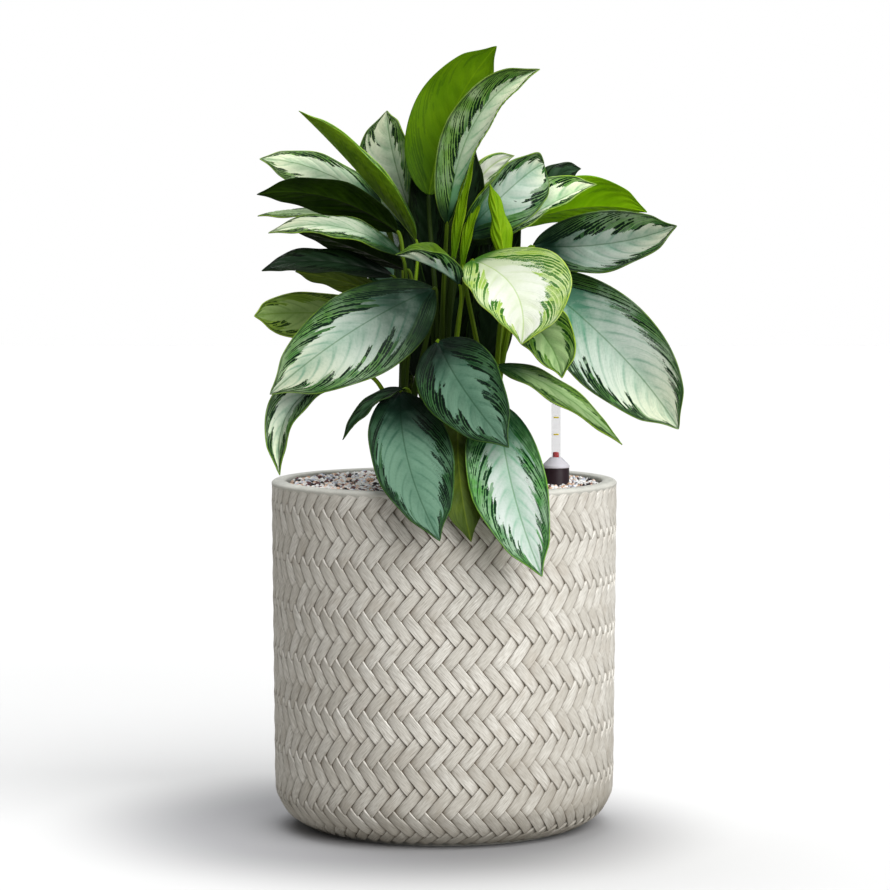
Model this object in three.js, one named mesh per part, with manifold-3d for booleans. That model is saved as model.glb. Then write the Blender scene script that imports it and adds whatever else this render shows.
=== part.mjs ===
// Potted silver bay chinese evergreen: a woven planter filled with mineral granulate, a water
// level gauge, six shoots and their leaf blades. Millimetres, +Z up, X to the right and Y away
// from the front. The origin is the centre of the planter's underside.
import * as THREE from 'three';
import { mergeVertices } from 'three/addons/utils/BufferGeometryUtils.js';
import Module from 'manifold-3d';

const wasm = await Module();
wasm.setup();

// Driving dimensions
const GAP = 0.3;
const POT = { height: 340, radius: 170, taper: 2.5, corner: 45, round: 5, roundTurn: 0.87, sides: 68 };
const WEAVE = { pitches: 68, cellsPerStrip: 3, relief: 2, ridge: 0.75, turn: 1, phase: -0.02 };

// Turned parts are drawn as [radius, height]: rim from outside to inside, then the wall and floor
const RIM = [[166.6, 339], [164.5, 340], [157, 340], [154.8, 339]];
const CAVITY = { sides: 34, profile: [[154, 336.6], [152, 60], [147, 36], [130, 16]] };
const GRANULATE = {
  top: 335, bump: 1.8, rings: 5, seed: 11, holeSides: 12, gaugeHole: 14, caneHole: 9.7,
  flank: [[129.6, 16.3], [146.5, 36.6], [151.4, 60]],
};
const GAUGE = {
  x: 108.5, y: -31, sides: 12,
  body: [[11.5, 16.3], [13, 16.3], [13, 353], [2.2, 353], [2.2, 351], [11.5, 351], [11.5, 16.3]],
  collar: [
    [2.2, 353.3], [13, 353.3], [13.4, 354], [13.2, 356], [4.9, 363.7], [3.3, 363.7], [3.3, 361.7],
    [2.2, 361.7], [2.2, 353.3],
  ],
  tube: [
    [3.3, 364], [4.1, 364], [4.1, 415.7], [3.5, 416.3], [0, 416.3], [0, 415.5], [3.3, 415.5], [3.3, 364],
  ],
  float: [
    [0, 40], [6, 40], [9, 44], [9, 86], [5, 90], [1.2, 92], [1.2, 362], [2.7, 362], [2.7, 365.5],
    [1.7, 366.5], [0, 366.5],
  ],
};
const PROBE = 0.02;
const CANE = { bottom: 268, foot: 8.5, head: 6.5, sides: 7, nodeStep: 34, swell: 1, ledge: 3 };
const PETIOLE = {
  foot: 3.7, end: 2, depth: 0.8, sides: 4, rings: 5, first: 0.94, step: 0.085, lean: 0.45, rise: 0.4,
  bend: 14,
};
const BLADE = {
  thickness: 1, rib: 0.9, stem: 2.4, point: 0.35, baseRound: 0.6, tipRound: 0.8,
  rows: [0, 0.12, 0.32, 0.56, 0.8, 1], columns: [-1, -0.55, 0, 0.55, 1],
};

// Shoots: where each cane stands, where it ends and how high that is
const SHOOTS = {
  left: { foot: [-36, -30], head: [-42, -44, 412] },
  front: { foot: [2, -44], head: [4, -58, 420] },
  right: { foot: [42, -30], head: [50, -44, 418] },
  back_right: { foot: [32, 30], head: [38, 34, 440] },
  back_left: { foot: [-30, 30], head: [-36, 34, 440] },
  middle: { foot: [-2, -2], head: [-4, -6, 450] },
};

// Leaves. Belly is the midrib at half length, and right and left run from there to the edges, seen
// from the upper side with the tip up. Sag is how far the right and the left half hang through
const LEAVES = {
  crown_back: {
    shoot: 'middle', base: [-15, 8, 618], belly: [8, 12, 698], tip: [51, 0, 762],
    right: [-34, -8, 15], left: [27, 10, -12], sag: [0, 0],
  },
  crown_front: {
    shoot: 'middle', base: [3, -14, 590], belly: [31, -22, 690], tip: [92, -40, 738],
    right: [11, -26, -8], left: [-21, -4, 12], sag: [0.4, 0.1],
  },
  crown_left: {
    shoot: 'back_left', base: [-24, 32, 576], belly: [-48, 52, 648], tip: [-57, 80, 702],
    right: [18, -16, 6], left: [-40, 8, -8], sag: [0.1, 0.1],
  },
  folded_left: {
    shoot: 'left', base: [-28, -5, 575], belly: [-86, -8, 643], tip: [-141, -12, 699],
    right: [14, 20, 13], left: [13, -22, 11], sag: [0.2, 0.2],
  },
  left_high: {
    shoot: 'back_left', base: [-62, 25, 605], belly: [-121, 25, 641], tip: [-181, 20, 653],
    right: [6, 20, 15], left: [-8, -10, -24], sag: [0.1, 0],
  },
  left_green: {
    shoot: 'left', base: [-46, -15, 583], belly: [-112, -22, 616], tip: [-181, -30, 618],
    right: [-3, 14, -17], left: [3, -14, 17], sag: [0, 0],
  },
  left_sliver: {
    shoot: 'back_left', base: [-60, 32, 586], belly: [-125, 36, 600], tip: [-184, 34, 597],
    right: [0, 17, 3], left: [0, -16, -6], sag: [0, 0],
  },
  left_silver: {
    shoot: 'left', base: [-42, -50, 560], belly: [-103, -60, 587], tip: [-168, -70, 581],
    right: [2, 16, 11], left: [-2, -17, -9], sag: [0, 0],
  },
  left_shade: {
    shoot: 'left', base: [-36, -33, 546], belly: [-95, -36, 570], tip: [-146, -40, 584],
    right: [-4, 20, -8], left: [4, -14, 12], sag: [0, 0],
  },
  left_dark: {
    shoot: 'left', base: [-50, -52, 540], belly: [-118, -70, 554], tip: [-174, -78, 545],
    right: [0, 17, 13], left: [0, -17, -10], sag: [0, 0],
  },
  left_lime: {
    shoot: 'left', base: [-50, -30, 520], belly: [-102, -45, 536], tip: [-143, -55, 544],
    right: [0, 13, -10], left: [0, -13, 10], sag: [0, 0],
  },
  left_olive: {
    shoot: 'back_left', base: [-60, 0, 500], belly: [-138, -8, 503], tip: [-183, -46, 501],
    right: [0, 8, 20], left: [0, -4, -26], sag: [0, 0],
  },
  left_broad: {
    shoot: 'left', base: [-10, -60, 528], belly: [-88, -105, 488], tip: [-164, -130, 430],
    right: [-25, 20, 26], left: [31, -8, -38], sag: [0.15, 0.05],
  },
  left_low: {
    shoot: 'left', base: [-74, -60, 444], belly: [-142, -80, 419], tip: [-157, -85, 350],
    right: [-18, -8, 14], left: [4, -20, -10], sag: [0, 0],
  },
  left_small: {
    shoot: 'left', base: [-38, -84, 433], belly: [-70, -104, 418], tip: [-96, -116, 386],
    right: [-3, 8, 8], left: [3, -9, -1], sag: [0.2, 0.2],
  },
  front_left: {
    shoot: 'left', base: [-42, -79, 430], belly: [-33, -158, 366], tip: [-4, -208, 299],
    right: [-34, -6, 2], left: [45, -6, -2], sag: [0.1, 0.1],
  },
  front_middle: {
    shoot: 'front', base: [-6, -85, 478], belly: [18, -140, 436], tip: [60, -175, 383],
    right: [-31, -6, -21], left: [32, -2, 22], sag: [0.1, 0.1],
  },
  front_olive: {
    shoot: 'front', base: [14, -72, 420], belly: [14, -156, 360], tip: [25, -186, 296],
    right: [25, 0, 2], left: [-24, 0, -2], sag: [0, 0],
  },
  front_right: {
    shoot: 'front', base: [52, -95, 418], belly: [64, -172, 343], tip: [90, -216, 267],
    right: [-40, -8, 2], left: [34, -6, -2], sag: [0.1, 0.1],
  },
  front_pale: {
    shoot: 'front', base: [28, -40, 555], belly: [67, -112, 527], tip: [72, -154, 478],
    right: [-36, -20, -10], left: [56, -4, 11], sag: [0.1, 0.1],
  },
  right_under: {
    shoot: 'right', base: [62, -78, 512], belly: [96, -104, 482], tip: [111, -125, 445],
    right: [-17, -12, -12], left: [23, -4, 17], sag: [0.1, 0.1],
  },
  right_broad: {
    shoot: 'right', base: [84, -25, 540], belly: [168, -62, 466], tip: [224, -82, 394],
    right: [-33, -8, -32], left: [32, 10, 31], sag: [0.1, 0.1],
  },
  right_teal: {
    shoot: 'right', base: [86, -20, 568], belly: [160, -46, 571], tip: [223, -60, 588],
    right: [5, -20, -25], left: [-9, 8, 31], sag: [0.1, 0.1],
  },
  right_lime: {
    shoot: 'back_right', base: [70, 38, 588], belly: [136, 40, 606], tip: [200, 35, 601],
    right: [-2, -12, 31], left: [2, 12, -11], sag: [0, 0],
  },
  right_stripe: {
    shoot: 'back_right', base: [52, 10, 572], belly: [100, 8, 606], tip: [149, 2, 628],
    right: [4, -14, -4], left: [-13, 6, 24], sag: [0, 0],
  },
  right_silver: {
    shoot: 'middle', base: [18, -8, 578], belly: [70, -5, 629], tip: [98, 22, 648],
    right: [25, -4, -23], left: [-17, -22, 10], sag: [0.1, 0.3],
  },
  right_small: {
    shoot: 'back_right', base: [82, 60, 610], belly: [110, 62, 636], tip: [136, 65, 644],
    right: [4, -8, -12], left: [-4, 6, 12], sag: [0, 0],
  },
  right_shade: {
    shoot: 'middle', base: [24, 14, 572], belly: [54, 16, 588], tip: [88, 20, 602],
    right: [-4, 3, 9], left: [5, 3, -12], sag: [0, 0],
  },
  new_roll: {
    shoot: 'right', base: [60, -26, 535], belly: [54, -30, 584], tip: [44, -30, 628],
    right: [-8, 4, -1], left: [10, 4, 1], sag: [0.4, 0.4],
  },
  centre_curl: {
    shoot: 'front', base: [14, -80, 533], belly: [-12, -98, 550], tip: [-46, -106, 561],
    right: [0, 18, 22], left: [4, -14, 15], sag: [0.2, 0.1],
  },
  pale_back: {
    shoot: 'back_right', base: [20, 60, 600], belly: [40, 65, 640], tip: [70, 68, 657],
    right: [8, 0, -9], left: [-8, 0, 10], sag: [0, 0],
  },
  right_low: {
    shoot: 'right', base: [50, -100, 456], belly: [106, -118, 433], tip: [168, -125, 382],
    right: [-6, -14, -8], left: [7, 16, 8], sag: [0.2, 0.2],
  },
  rear_left: {
    shoot: 'back_left', base: [-40, 60, 560], belly: [-88, 108, 592], tip: [-126, 150, 590],
    right: [20, 22, 2], left: [-20, -22, 2], sag: [0, 0],
  },
  rear_middle: {
    shoot: 'middle', base: [10, 46, 456], belly: [10, 84, 517], tip: [12, 150, 562],
    right: [34, 0, 4], left: [-34, 0, 4], sag: [0, 0],
  },
  rear_inner: {
    shoot: 'back_left', base: [-22, 66, 474], belly: [-54, 86, 532], tip: [-88, 120, 574],
    right: [20, 14, 2], left: [-20, -14, 2], sag: [0, 0],
  },
  rear_right: {
    shoot: 'back_right', base: [44, 62, 530], belly: [104, 108, 558], tip: [150, 148, 550],
    right: [20, -24, 2], left: [-20, 24, 2], sag: [0, 0],
  },
  rear_low_left: {
    shoot: 'back_left', base: [-44, 66, 480], belly: [-84, 128, 492], tip: [-112, 178, 440],
    right: [32, 16, 4], left: [-32, -16, 4], sag: [0, 0],
  },
  rear_low_middle: {
    shoot: 'middle', base: [-6, 66, 446], belly: [8, 146, 462], tip: [14, 196, 404],
    right: [38, 0, 4], left: [-38, 0, 4], sag: [0, 0],
  },
  rear_low_right: {
    shoot: 'back_right', base: [48, 62, 482], belly: [92, 122, 492], tip: [124, 172, 440],
    right: [32, -16, 4], left: [-32, 16, 4], sag: [0, 0],
  },
  rear_crown: {
    shoot: 'middle', base: [8, 50, 650], belly: [2, 90, 694], tip: [0, 130, 728],
    right: [30, 0, 4], left: [-30, 0, 4], sag: [0, 0],
  },
};

// Colour and roughness
const COLOURS = {
  pot: [0xcfcac1, 0.8],
  granulate: [0xb9a794, 0.9],
  gauge_body: [0x42353b, 0.45],
  gauge_collar: [0xcfcbd8, 0.35],
  gauge_tube: [0xe6e6ee, 0.15],
  gauge_float: [0xb03020, 0.5],
  shoot: [0x6f8f2f, 0.6],
  leaf: [0x9fc4a4, 0.45],
};

const vec = (p) => new THREE.Vector3(...p);

// The same random numbers on every run
function randomSource(seed) {
  let state = seed;
  return () => {
    state = (state * 1664525 + 1013904223) % 4294967296;
    return state / 4294967296;
  };
}

// Position-only geometry with shared vertices, turned so that its faces point out
function tidied(geometry) {
  const bare = geometry.clone();
  bare.deleteAttribute('normal');
  bare.deleteAttribute('uv');
  const merged = mergeVertices(bare, 1e-4);
  const p = merged.attributes.position;
  const index = Array.from(merged.index.array);
  const [a, b, c] = [new THREE.Vector3(), new THREE.Vector3(), new THREE.Vector3()];
  const kept = [];
  let volume = 0;
  for (let i = 0; i < index.length; i += 3) {
    const [u, v, w] = index.slice(i, i + 3);
    if (u === v || v === w || w === u) continue;
    kept.push(u, v, w);
    b.fromBufferAttribute(p, v).cross(c.fromBufferAttribute(p, w));
    volume += a.fromBufferAttribute(p, u).dot(b);
  }
  merged.setIndex(volume < 0 ? kept.reverse() : kept);
  return merged;
}

function toSolid(geometry) {
  const tidy = tidied(geometry);
  const mesh = new wasm.Mesh({
    numProp: 3,
    vertProperties: new Float32Array(tidy.attributes.position.array),
    triVerts: new Uint32Array(tidy.index.array),
  });
  return new wasm.Manifold(mesh);
}

function toGeometry(solid) {
  const mesh = solid.getMesh();
  const geometry = new THREE.BufferGeometry();
  geometry.setAttribute('position', new THREE.BufferAttribute(new Float32Array(mesh.vertProperties), 3));
  geometry.setIndex(Array.from(mesh.triVerts));
  return geometry;
}

function fromTriangles(points, triangles) {
  const geometry = new THREE.BufferGeometry();
  geometry.setAttribute('position', new THREE.Float32BufferAttribute(points.flat(), 3));
  geometry.setIndex(triangles.flat());
  return tidied(geometry);
}

// A turned solid: profile points are [radius, height], from the axis to the axis or closed
function turned(profile, sides, x = 0, y = 0) {
  const geometry = new THREE.LatheGeometry(profile.map(([r, z]) => new THREE.Vector2(r, z)), sides);
  geometry.rotateX(Math.PI / 2);
  geometry.translate(x, y, 0);
  return geometry;
}

// Planter: outer outline at a distance down from the rim, moved out by offset
const wallLength = POT.height - POT.corner;
const cornerRadius = POT.radius - POT.taper - POT.corner;
const cellStep = Math.PI * POT.radius / WEAVE.pitches;
const front = WEAVE.phase - Math.PI / 2;

function arcPoint(centreRadius, centreHeight, reach, angle) {
  return [centreRadius + reach * Math.cos(angle), centreHeight + reach * Math.sin(angle)];
}

function outlineAt(down, offset) {
  const { height, radius, taper, corner, round, roundTurn } = POT;
  if (down < round) {
    return arcPoint(radius - round, height - round, round + offset, roundTurn * (1 - down / round));
  }
  if (down <= wallLength) return [radius - taper * down / wallLength + offset, height - down];
  return arcPoint(cornerRadius, corner, corner + offset, (wallLength - down) / corner);
}

function onCircle(r, z, angle) {
  return [r * Math.cos(angle), r * Math.sin(angle), z];
}

// Three-to-one herringbone on a square lattice turned by 45 degrees: a cell (i, j) belongs to a
// strip along i where (i + j) mod 6 is 0 to 2 and to a strip along j where it is 3 to 5
function latticePoint(i, j, offset) {
  const [r, z] = outlineAt((i + j - WEAVE.cellsPerStrip) * cellStep, offset);
  return onCircle(r, z, (i - j) * cellStep / POT.radius + front);
}

function stripCorners(i, j, alongI) {
  const n = WEAVE.cellsPerStrip;
  const at = (a, b) => (alongI ? [i + a, j + b] : [i + b, j + a]);
  const outline = [at(0, 0), at(1, 0), at(n, 0), at(n, 1), at(n - 1, 1), at(0, 1)];
  return { outline, ridge: [at(WEAVE.ridge, 0.5), at(n - WEAVE.ridge, 0.5)] };
}

const STRIP_FACES = [
  [0, 1, 6], [1, 7, 6], [1, 2, 7], [2, 3, 7], [3, 4, 7], [4, 6, 7], [4, 5, 6], [5, 0, 6],
];

// A skin grows point by point; lattice corners shared by strips are stored once
function startSkin() {
  const skin = { points: [], triangles: [], known: new Map() };
  skin.add = (point) => skin.points.push(point) - 1;
  skin.corner = (i, j, offset) => {
    const halfTurns = 4 * WEAVE.pitches;
    const step = ((Math.round(2 * (i - j)) % halfTurns) + halfTurns) % halfTurns;
    const key = `${step}:${Math.round(2 * (i + j))}`;
    if (!skin.known.has(key)) skin.known.set(key, skin.add(latticePoint(i, j, offset)));
    return skin.known.get(key);
  };
  return skin;
}

// A belt of triangles between two loops that start at the same angle
function addBelt(skin, from, to) {
  let [i, j] = [0, 0];
  while (i < from.length || j < to.length) {
    const [a, b] = [from[i % from.length], to[j % to.length]];
    const behind = (i + 0.5) / from.length <= (j + 0.5) / to.length;
    const alongFrom = j >= to.length || (i < from.length && behind);
    if (alongFrom) i += 1;
    else j += 1;
    skin.triangles.push([a, alongFrom ? from[i % from.length] : to[j % to.length], b]);
  }
}

function addRing(skin, [r, z], sides) {
  const start = cellStep / POT.radius + front;
  const angles = Array.from({ length: sides }, (_, k) => start + 2 * Math.PI * k / sides);
  return angles.map((angle) => skin.add(onCircle(r, z, angle)));
}

function addCap(skin, loop, height) {
  const centre = skin.add([0, 0, height]);
  loop.forEach((a, k) => skin.triangles.push([a, loop[(k + 1) % loop.length], centre]));
}

// Belts through a row of rings, outer wall up, over the top and in
function addRings(skin, first, profile, sides) {
  let loop = first;
  for (const point of profile) {
    const next = addRing(skin, point, sides);
    addBelt(skin, loop, next);
    loop = next;
  }
  return loop;
}

// The zigzag line above the strips that start at a lattice row
function zigzag(skin, row) {
  return Array.from({ length: 2 * WEAVE.pitches }, (_, k) => {
    const d = 1 + k;
    const sum = row + ((row + d) % 2);
    return skin.corner((sum + d) / 2, (sum - d) / 2, -WEAVE.relief);
  });
}

function addStrip(skin, i, j, alongI) {
  const { outline, ridge } = stripCorners(i, j, alongI);
  const corners = outline.map(([a, b]) => skin.corner(a, b, -WEAVE.relief));
  corners.push(...ridge.map(([a, b]) => skin.corner(a, b, 0)));
  for (const face of STRIP_FACES) {
    const [a, b, c] = face.map((n) => corners[n]);
    skin.triangles.push(alongI ? [a, c, b] : [a, b, c]);
  }
}

// The same loop from the same start, run the other way round
function backwards([first, ...rest]) {
  return [first, ...rest.reverse()];
}

function potGeometry() {
  const skin = startSkin();
  const n = WEAVE.cellsPerStrip;
  const last = (wallLength + WEAVE.turn * POT.corner) / cellStep;
  let row = n;
  for (; row + 1 <= last; row += n) {
    for (let k = 0; k < WEAVE.pitches; k += 1) {
      const i = k + Math.ceil(row / 2);
      addStrip(skin, i, row - i, row % (2 * n) === 0);
    }
  }
  const rim = addRings(skin, zigzag(skin, n), RIM, POT.sides);
  const floor = addRings(skin, rim, CAVITY.profile, CAVITY.sides);
  addCap(skin, floor, CAVITY.profile.at(-1)[1]);
  const under = backwards(addRing(skin, [cornerRadius, 0], CAVITY.sides));
  addBelt(skin, backwards(zigzag(skin, row)), under);
  addCap(skin, under, 0);
  return fromTriangles(skin.points, skin.triangles);
}

// Granulate: fills the planter under a bumpy top, with plain holes for the gauge and the canes
function granulateGeometry() {
  const { top, rings, flank, bump, gaugeHole, caneHole } = GRANULATE;
  const outer = CAVITY.profile[0][0] - 2 * GAP;
  const skin = startSkin();
  const floor = addRing(skin, flank[0], CAVITY.sides);
  addCap(skin, backwards(floor), flank[0][1]);
  const surface = Array.from({ length: rings }, (_, k) => [outer * (rings - k) / rings, top]);
  const inner = addRings(skin, floor, [...flank.slice(1), ...surface], CAVITY.sides);
  addCap(skin, inner, top);
  const random = randomSource(GRANULATE.seed);
  for (const point of skin.points) {
    if (point[2] === top) point[2] += bump * (2 * random() - 1);
  }
  let fill = toSolid(fromTriangles(skin.points, skin.triangles));
  fill = fill.subtract(plug(GAUGE.x, GAUGE.y, gaugeHole, 0));
  for (const { foot } of Object.values(SHOOTS)) {
    fill = fill.subtract(plug(foot[0], foot[1], caneHole, CANE.bottom - GAP));
  }
  return toGeometry(fill);
}

function plug(x, y, r, low) {
  const high = 2 * GRANULATE.top;
  return toSolid(turned([[0, low], [r, low], [r, high], [0, high]], GRANULATE.holeSides, x, y));
}

// Water level gauge: body, collar, clear tube and the float that slides up in it
function gaugePart(name) {
  return tidied(turned(GAUGE[name], GAUGE.sides, GAUGE.x, GAUGE.y));
}

// A closed tube through rings of points, capped at both ends
function lofted(rings) {
  const points = rings.flat();
  const n = rings[0].length;
  const triangles = [];
  for (let r = 0; r + 1 < rings.length; r += 1) {
    for (let s = 0; s < n; s += 1) {
      const [a, b] = [r * n + s, r * n + (s + 1) % n];
      triangles.push([a, b, b + n], [a, b + n, a + n]);
    }
  }
  const top = (rings.length - 1) * n;
  for (let s = 1; s + 1 < n; s += 1) triangles.push([0, s + 1, s], [top, top + s, top + s + 1]);
  return fromTriangles(points, triangles);
}

function ringAround(centre, direction, flatWay, width, depth, sides) {
  const across = new THREE.Vector3().crossVectors(direction, flatWay).normalize();
  const out = new THREE.Vector3().crossVectors(across, direction).normalize();
  return Array.from({ length: sides }, (_, s) => {
    const angle = 2 * Math.PI * s / sides;
    const p = centre.clone().addScaledVector(across, width * Math.cos(angle));
    return p.addScaledVector(out, depth * Math.sin(angle)).toArray();
  });
}

// Blade: the midrib is a quadratic curve. At half length each half reaches its edge point, and
// along the blade that cross-section turns with the midrib and scales with the outline
function bladeFrame(leaf, t) {
  const [base, belly, tip] = [vec(leaf.base), vec(leaf.belly), vec(leaf.tip)];
  const pull = belly.clone().multiplyScalar(2).sub(base.clone().add(tip).multiplyScalar(0.5));
  const rib = new THREE.QuadraticBezierCurve3(base, pull, tip);
  const middle = tip.clone().sub(base).normalize();
  const spread = vec(leaf.right).sub(vec(leaf.left));
  const across = spread.addScaledVector(middle, -spread.dot(middle)).normalize();
  const face = new THREE.Vector3().crossVectors(across, middle);
  const along = rib.getTangent(t);
  const side = new THREE.Vector3().crossVectors(along, face).normalize();
  const up = new THREE.Vector3().crossVectors(side, along).normalize();
  return { point: rib.getPoint(t), along, side, up, across, face };
}

// Half-width along the blade, 1 at half length
function outlineWidth(t) {
  const [base, tip] = [BLADE.baseRound, BLADE.tipRound];
  return Math.pow(t, base) * Math.pow(1 - t, tip) / Math.pow(0.5, base + tip);
}

function bladePoint(leaf, t, c) {
  const { point, side, up, across, face } = bladeFrame(leaf, t);
  const edge = vec(c > 0 ? leaf.right : leaf.left);
  const [out, rise] = [edge.dot(across), edge.dot(face)];
  const reach = Math.hypot(out, rise);
  const least = THREE.MathUtils.lerp(BLADE.stem, BLADE.point, t) / reach;
  const scale = Math.max(least, outlineWidth(t));
  const share = Math.abs(c);
  const sag = leaf.sag[c > 0 ? 0 : 1] * reach * share * (1 - share) * 2;
  const turn = Math.sign(out);
  point.addScaledVector(side, scale * (out * share + turn * sag * rise / reach));
  return point.addScaledVector(up, scale * (rise * share - sag * Math.abs(out) / reach));
}

function bladeNormal(leaf, t, c) {
  const [before, after] = [Math.max(0, t - PROBE), Math.min(1, t + PROBE)];
  const [left, right] = [Math.max(-1, c - PROBE), Math.min(1, c + PROBE)];
  const along = bladePoint(leaf, after, c).sub(bladePoint(leaf, before, c));
  const across = bladePoint(leaf, t, right).sub(bladePoint(leaf, t, left));
  return across.cross(along).normalize();
}

// The upper and the lower sheet of a blade, with the midrib standing out below
function bladeSheets(leaf) {
  const [upper, lower] = [[], []];
  const half = BLADE.thickness / 2;
  for (const t of BLADE.rows) {
    for (const c of BLADE.columns) {
      const point = bladePoint(leaf, t, c);
      const normal = bladeNormal(leaf, t, c);
      const depth = c === 0 ? half + BLADE.rib * (1 - t) : half;
      upper.push(point.clone().addScaledVector(normal, half).toArray());
      lower.push(point.addScaledVector(normal, -depth).toArray());
    }
  }
  return [...upper, ...lower];
}

// Both sheets are split along the same diagonals, which fan out from the midrib
function bladeGeometry(leaf) {
  const [n, m] = [BLADE.columns.length, BLADE.rows.length];
  const under = n * m;
  const triangles = [];
  for (let r = 0; r + 1 < m; r += 1) {
    for (let k = 0; k + 1 < n; k += 1) {
      const [a, b, c, d] = [r * n + k, r * n + k + 1, (r + 1) * n + k + 1, (r + 1) * n + k];
      const split = 2 * k < n - 1 ? [[a, b, d], [b, c, d]] : [[a, b, c], [a, c, d]];
      for (const [u, v, w] of split) triangles.push([u, v, w], [under + u, under + w, under + v]);
    }
  }
  for (const [a, b] of rimEdges(n, m)) triangles.push([b, a, under + a], [b, under + a, under + b]);
  return fromTriangles(bladeSheets(leaf), triangles);
}

// Edges round a grid of n columns and m rows
function rimEdges(n, m) {
  const count = (length) => Array.from({ length: length - 1 }, (_, k) => k);
  const base = count(n).map((k) => [k, k + 1]);
  const right = count(m).map((r) => [r * n + n - 1, (r + 1) * n + n - 1]);
  const tip = count(n).map((k) => [(m - 1) * n + k + 1, (m - 1) * n + k]);
  const left = count(m).map((r) => [(r + 1) * n, r * n]);
  return [...base, ...right, ...tip, ...left];
}

// A shoot: its ringed cane and the petioles that carry its blades, fused in one piece
function soilPoint(shoot) {
  return new THREE.Vector3(shoot.foot[0], shoot.foot[1], GRANULATE.top);
}

function caneGeometry(shoot) {
  const [soil, head] = [soilPoint(shoot), vec(shoot.head)];
  const direction = head.clone().sub(soil).normalize();
  const flat = new THREE.Vector3(1, 0, 0);
  const ring = (centre, r, way = direction) => ringAround(centre, way, flat, r, r, CANE.sides);
  const steps = Math.max(2, Math.round(head.distanceTo(soil) / CANE.nodeStep));
  const rings = [ring(soil.clone().setZ(CANE.bottom), CANE.foot, new THREE.Vector3(0, 0, 1))];
  for (let k = 0; k <= steps; k += 1) {
    const centre = soil.clone().lerp(head, k / steps);
    const r = THREE.MathUtils.lerp(CANE.foot, CANE.head, k / steps);
    rings.push(ring(centre, r));
    if (k < steps) rings.push(ring(centre.addScaledVector(direction, CANE.ledge), r - CANE.swell));
  }
  return lofted(rings);
}

function petioleCurve(shoot, leaf, order) {
  const { along } = bladeFrame(leaf, 0);
  const end = vec(leaf.base).addScaledVector(along, -GAP);
  const start = soilPoint(shoot).lerp(vec(shoot.head), PETIOLE.first - PETIOLE.step * order);
  const reach = start.distanceTo(end);
  const rise = end.clone().sub(start).multiplyScalar(PETIOLE.lean / reach).setZ(1).normalize();
  const leave = start.clone().addScaledVector(rise, reach * PETIOLE.rise);
  const arrive = end.clone().addScaledVector(along, -PETIOLE.bend);
  return new THREE.CubicBezierCurve3(start, leave, arrive, end);
}

function petioleGeometry(curve, leaf) {
  const { up } = bladeFrame(leaf, 0);
  const rings = [];
  for (let k = 0; k < PETIOLE.rings; k += 1) {
    const t = k / (PETIOLE.rings - 1);
    const width = THREE.MathUtils.lerp(PETIOLE.foot, PETIOLE.end, Math.sqrt(t));
    const [centre, along] = [curve.getPoint(t), curve.getTangent(t)];
    rings.push(ringAround(centre, along, up, width, width * PETIOLE.depth, PETIOLE.sides));
  }
  return lofted(rings);
}

function shootGeometry(name) {
  const shoot = SHOOTS[name];
  const own = Object.values(LEAVES).filter((leaf) => leaf.shoot === name);
  let fused = toSolid(caneGeometry(shoot));
  own.forEach((leaf, order) => {
    fused = fused.add(toSolid(petioleGeometry(petioleCurve(shoot, leaf, order), leaf)));
  });
  return toGeometry(fused);
}

// The assembly
const plant = new THREE.Group();

function addPiece(name, geometry, look) {
  const [color, roughness] = COLOURS[look];
  const material = new THREE.MeshStandardMaterial({ color, roughness, metalness: 0 });
  const mesh = new THREE.Mesh(geometry, material);
  mesh.name = name;
  plant.add(mesh);
}

addPiece('pot', potGeometry(), 'pot');
addPiece('granulate', granulateGeometry(), 'granulate');
for (const part of ['body', 'collar', 'tube', 'float']) {
  addPiece(`gauge_${part}`, gaugePart(part), `gauge_${part}`);
}
for (const name of Object.keys(SHOOTS)) addPiece(`shoot_${name}`, shootGeometry(name), 'shoot');
for (const [name, leaf] of Object.entries(LEAVES)) {
  addPiece(`leaf_${name}`, bladeGeometry(leaf), 'leaf');
}

export default plant;
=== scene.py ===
"""Looks of the potted silver bay chinese evergreen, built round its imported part.

Lengths in the tables are millimetres in the part's own frame: +Z up, X to the right and Y away from
the front. They are scaled to metres when a mesh is made. Floor, light and camera are in metres."""

import math
from functools import partialmethod
from itertools import combinations
from types import SimpleNamespace

import bpy
import numpy as np
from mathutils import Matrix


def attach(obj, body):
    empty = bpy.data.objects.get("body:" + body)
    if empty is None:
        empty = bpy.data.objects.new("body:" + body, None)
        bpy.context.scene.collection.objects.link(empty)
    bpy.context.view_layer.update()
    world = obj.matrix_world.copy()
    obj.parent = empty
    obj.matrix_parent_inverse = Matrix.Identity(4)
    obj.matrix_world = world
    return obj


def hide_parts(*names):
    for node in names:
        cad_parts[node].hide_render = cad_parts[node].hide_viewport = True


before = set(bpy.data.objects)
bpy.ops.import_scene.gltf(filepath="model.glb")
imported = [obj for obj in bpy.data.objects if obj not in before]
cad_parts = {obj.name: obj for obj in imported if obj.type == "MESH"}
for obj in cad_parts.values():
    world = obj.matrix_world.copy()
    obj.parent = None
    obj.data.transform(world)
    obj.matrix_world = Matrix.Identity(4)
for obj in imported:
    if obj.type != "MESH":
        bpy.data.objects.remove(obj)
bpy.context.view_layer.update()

MM = 0.001
MM_PER_CM = 10
TURN = 2 * math.pi
TINY = 1e-6
SEEDS = dict(weave=7, stones=8, shoots=9, leaves=17)

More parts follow.
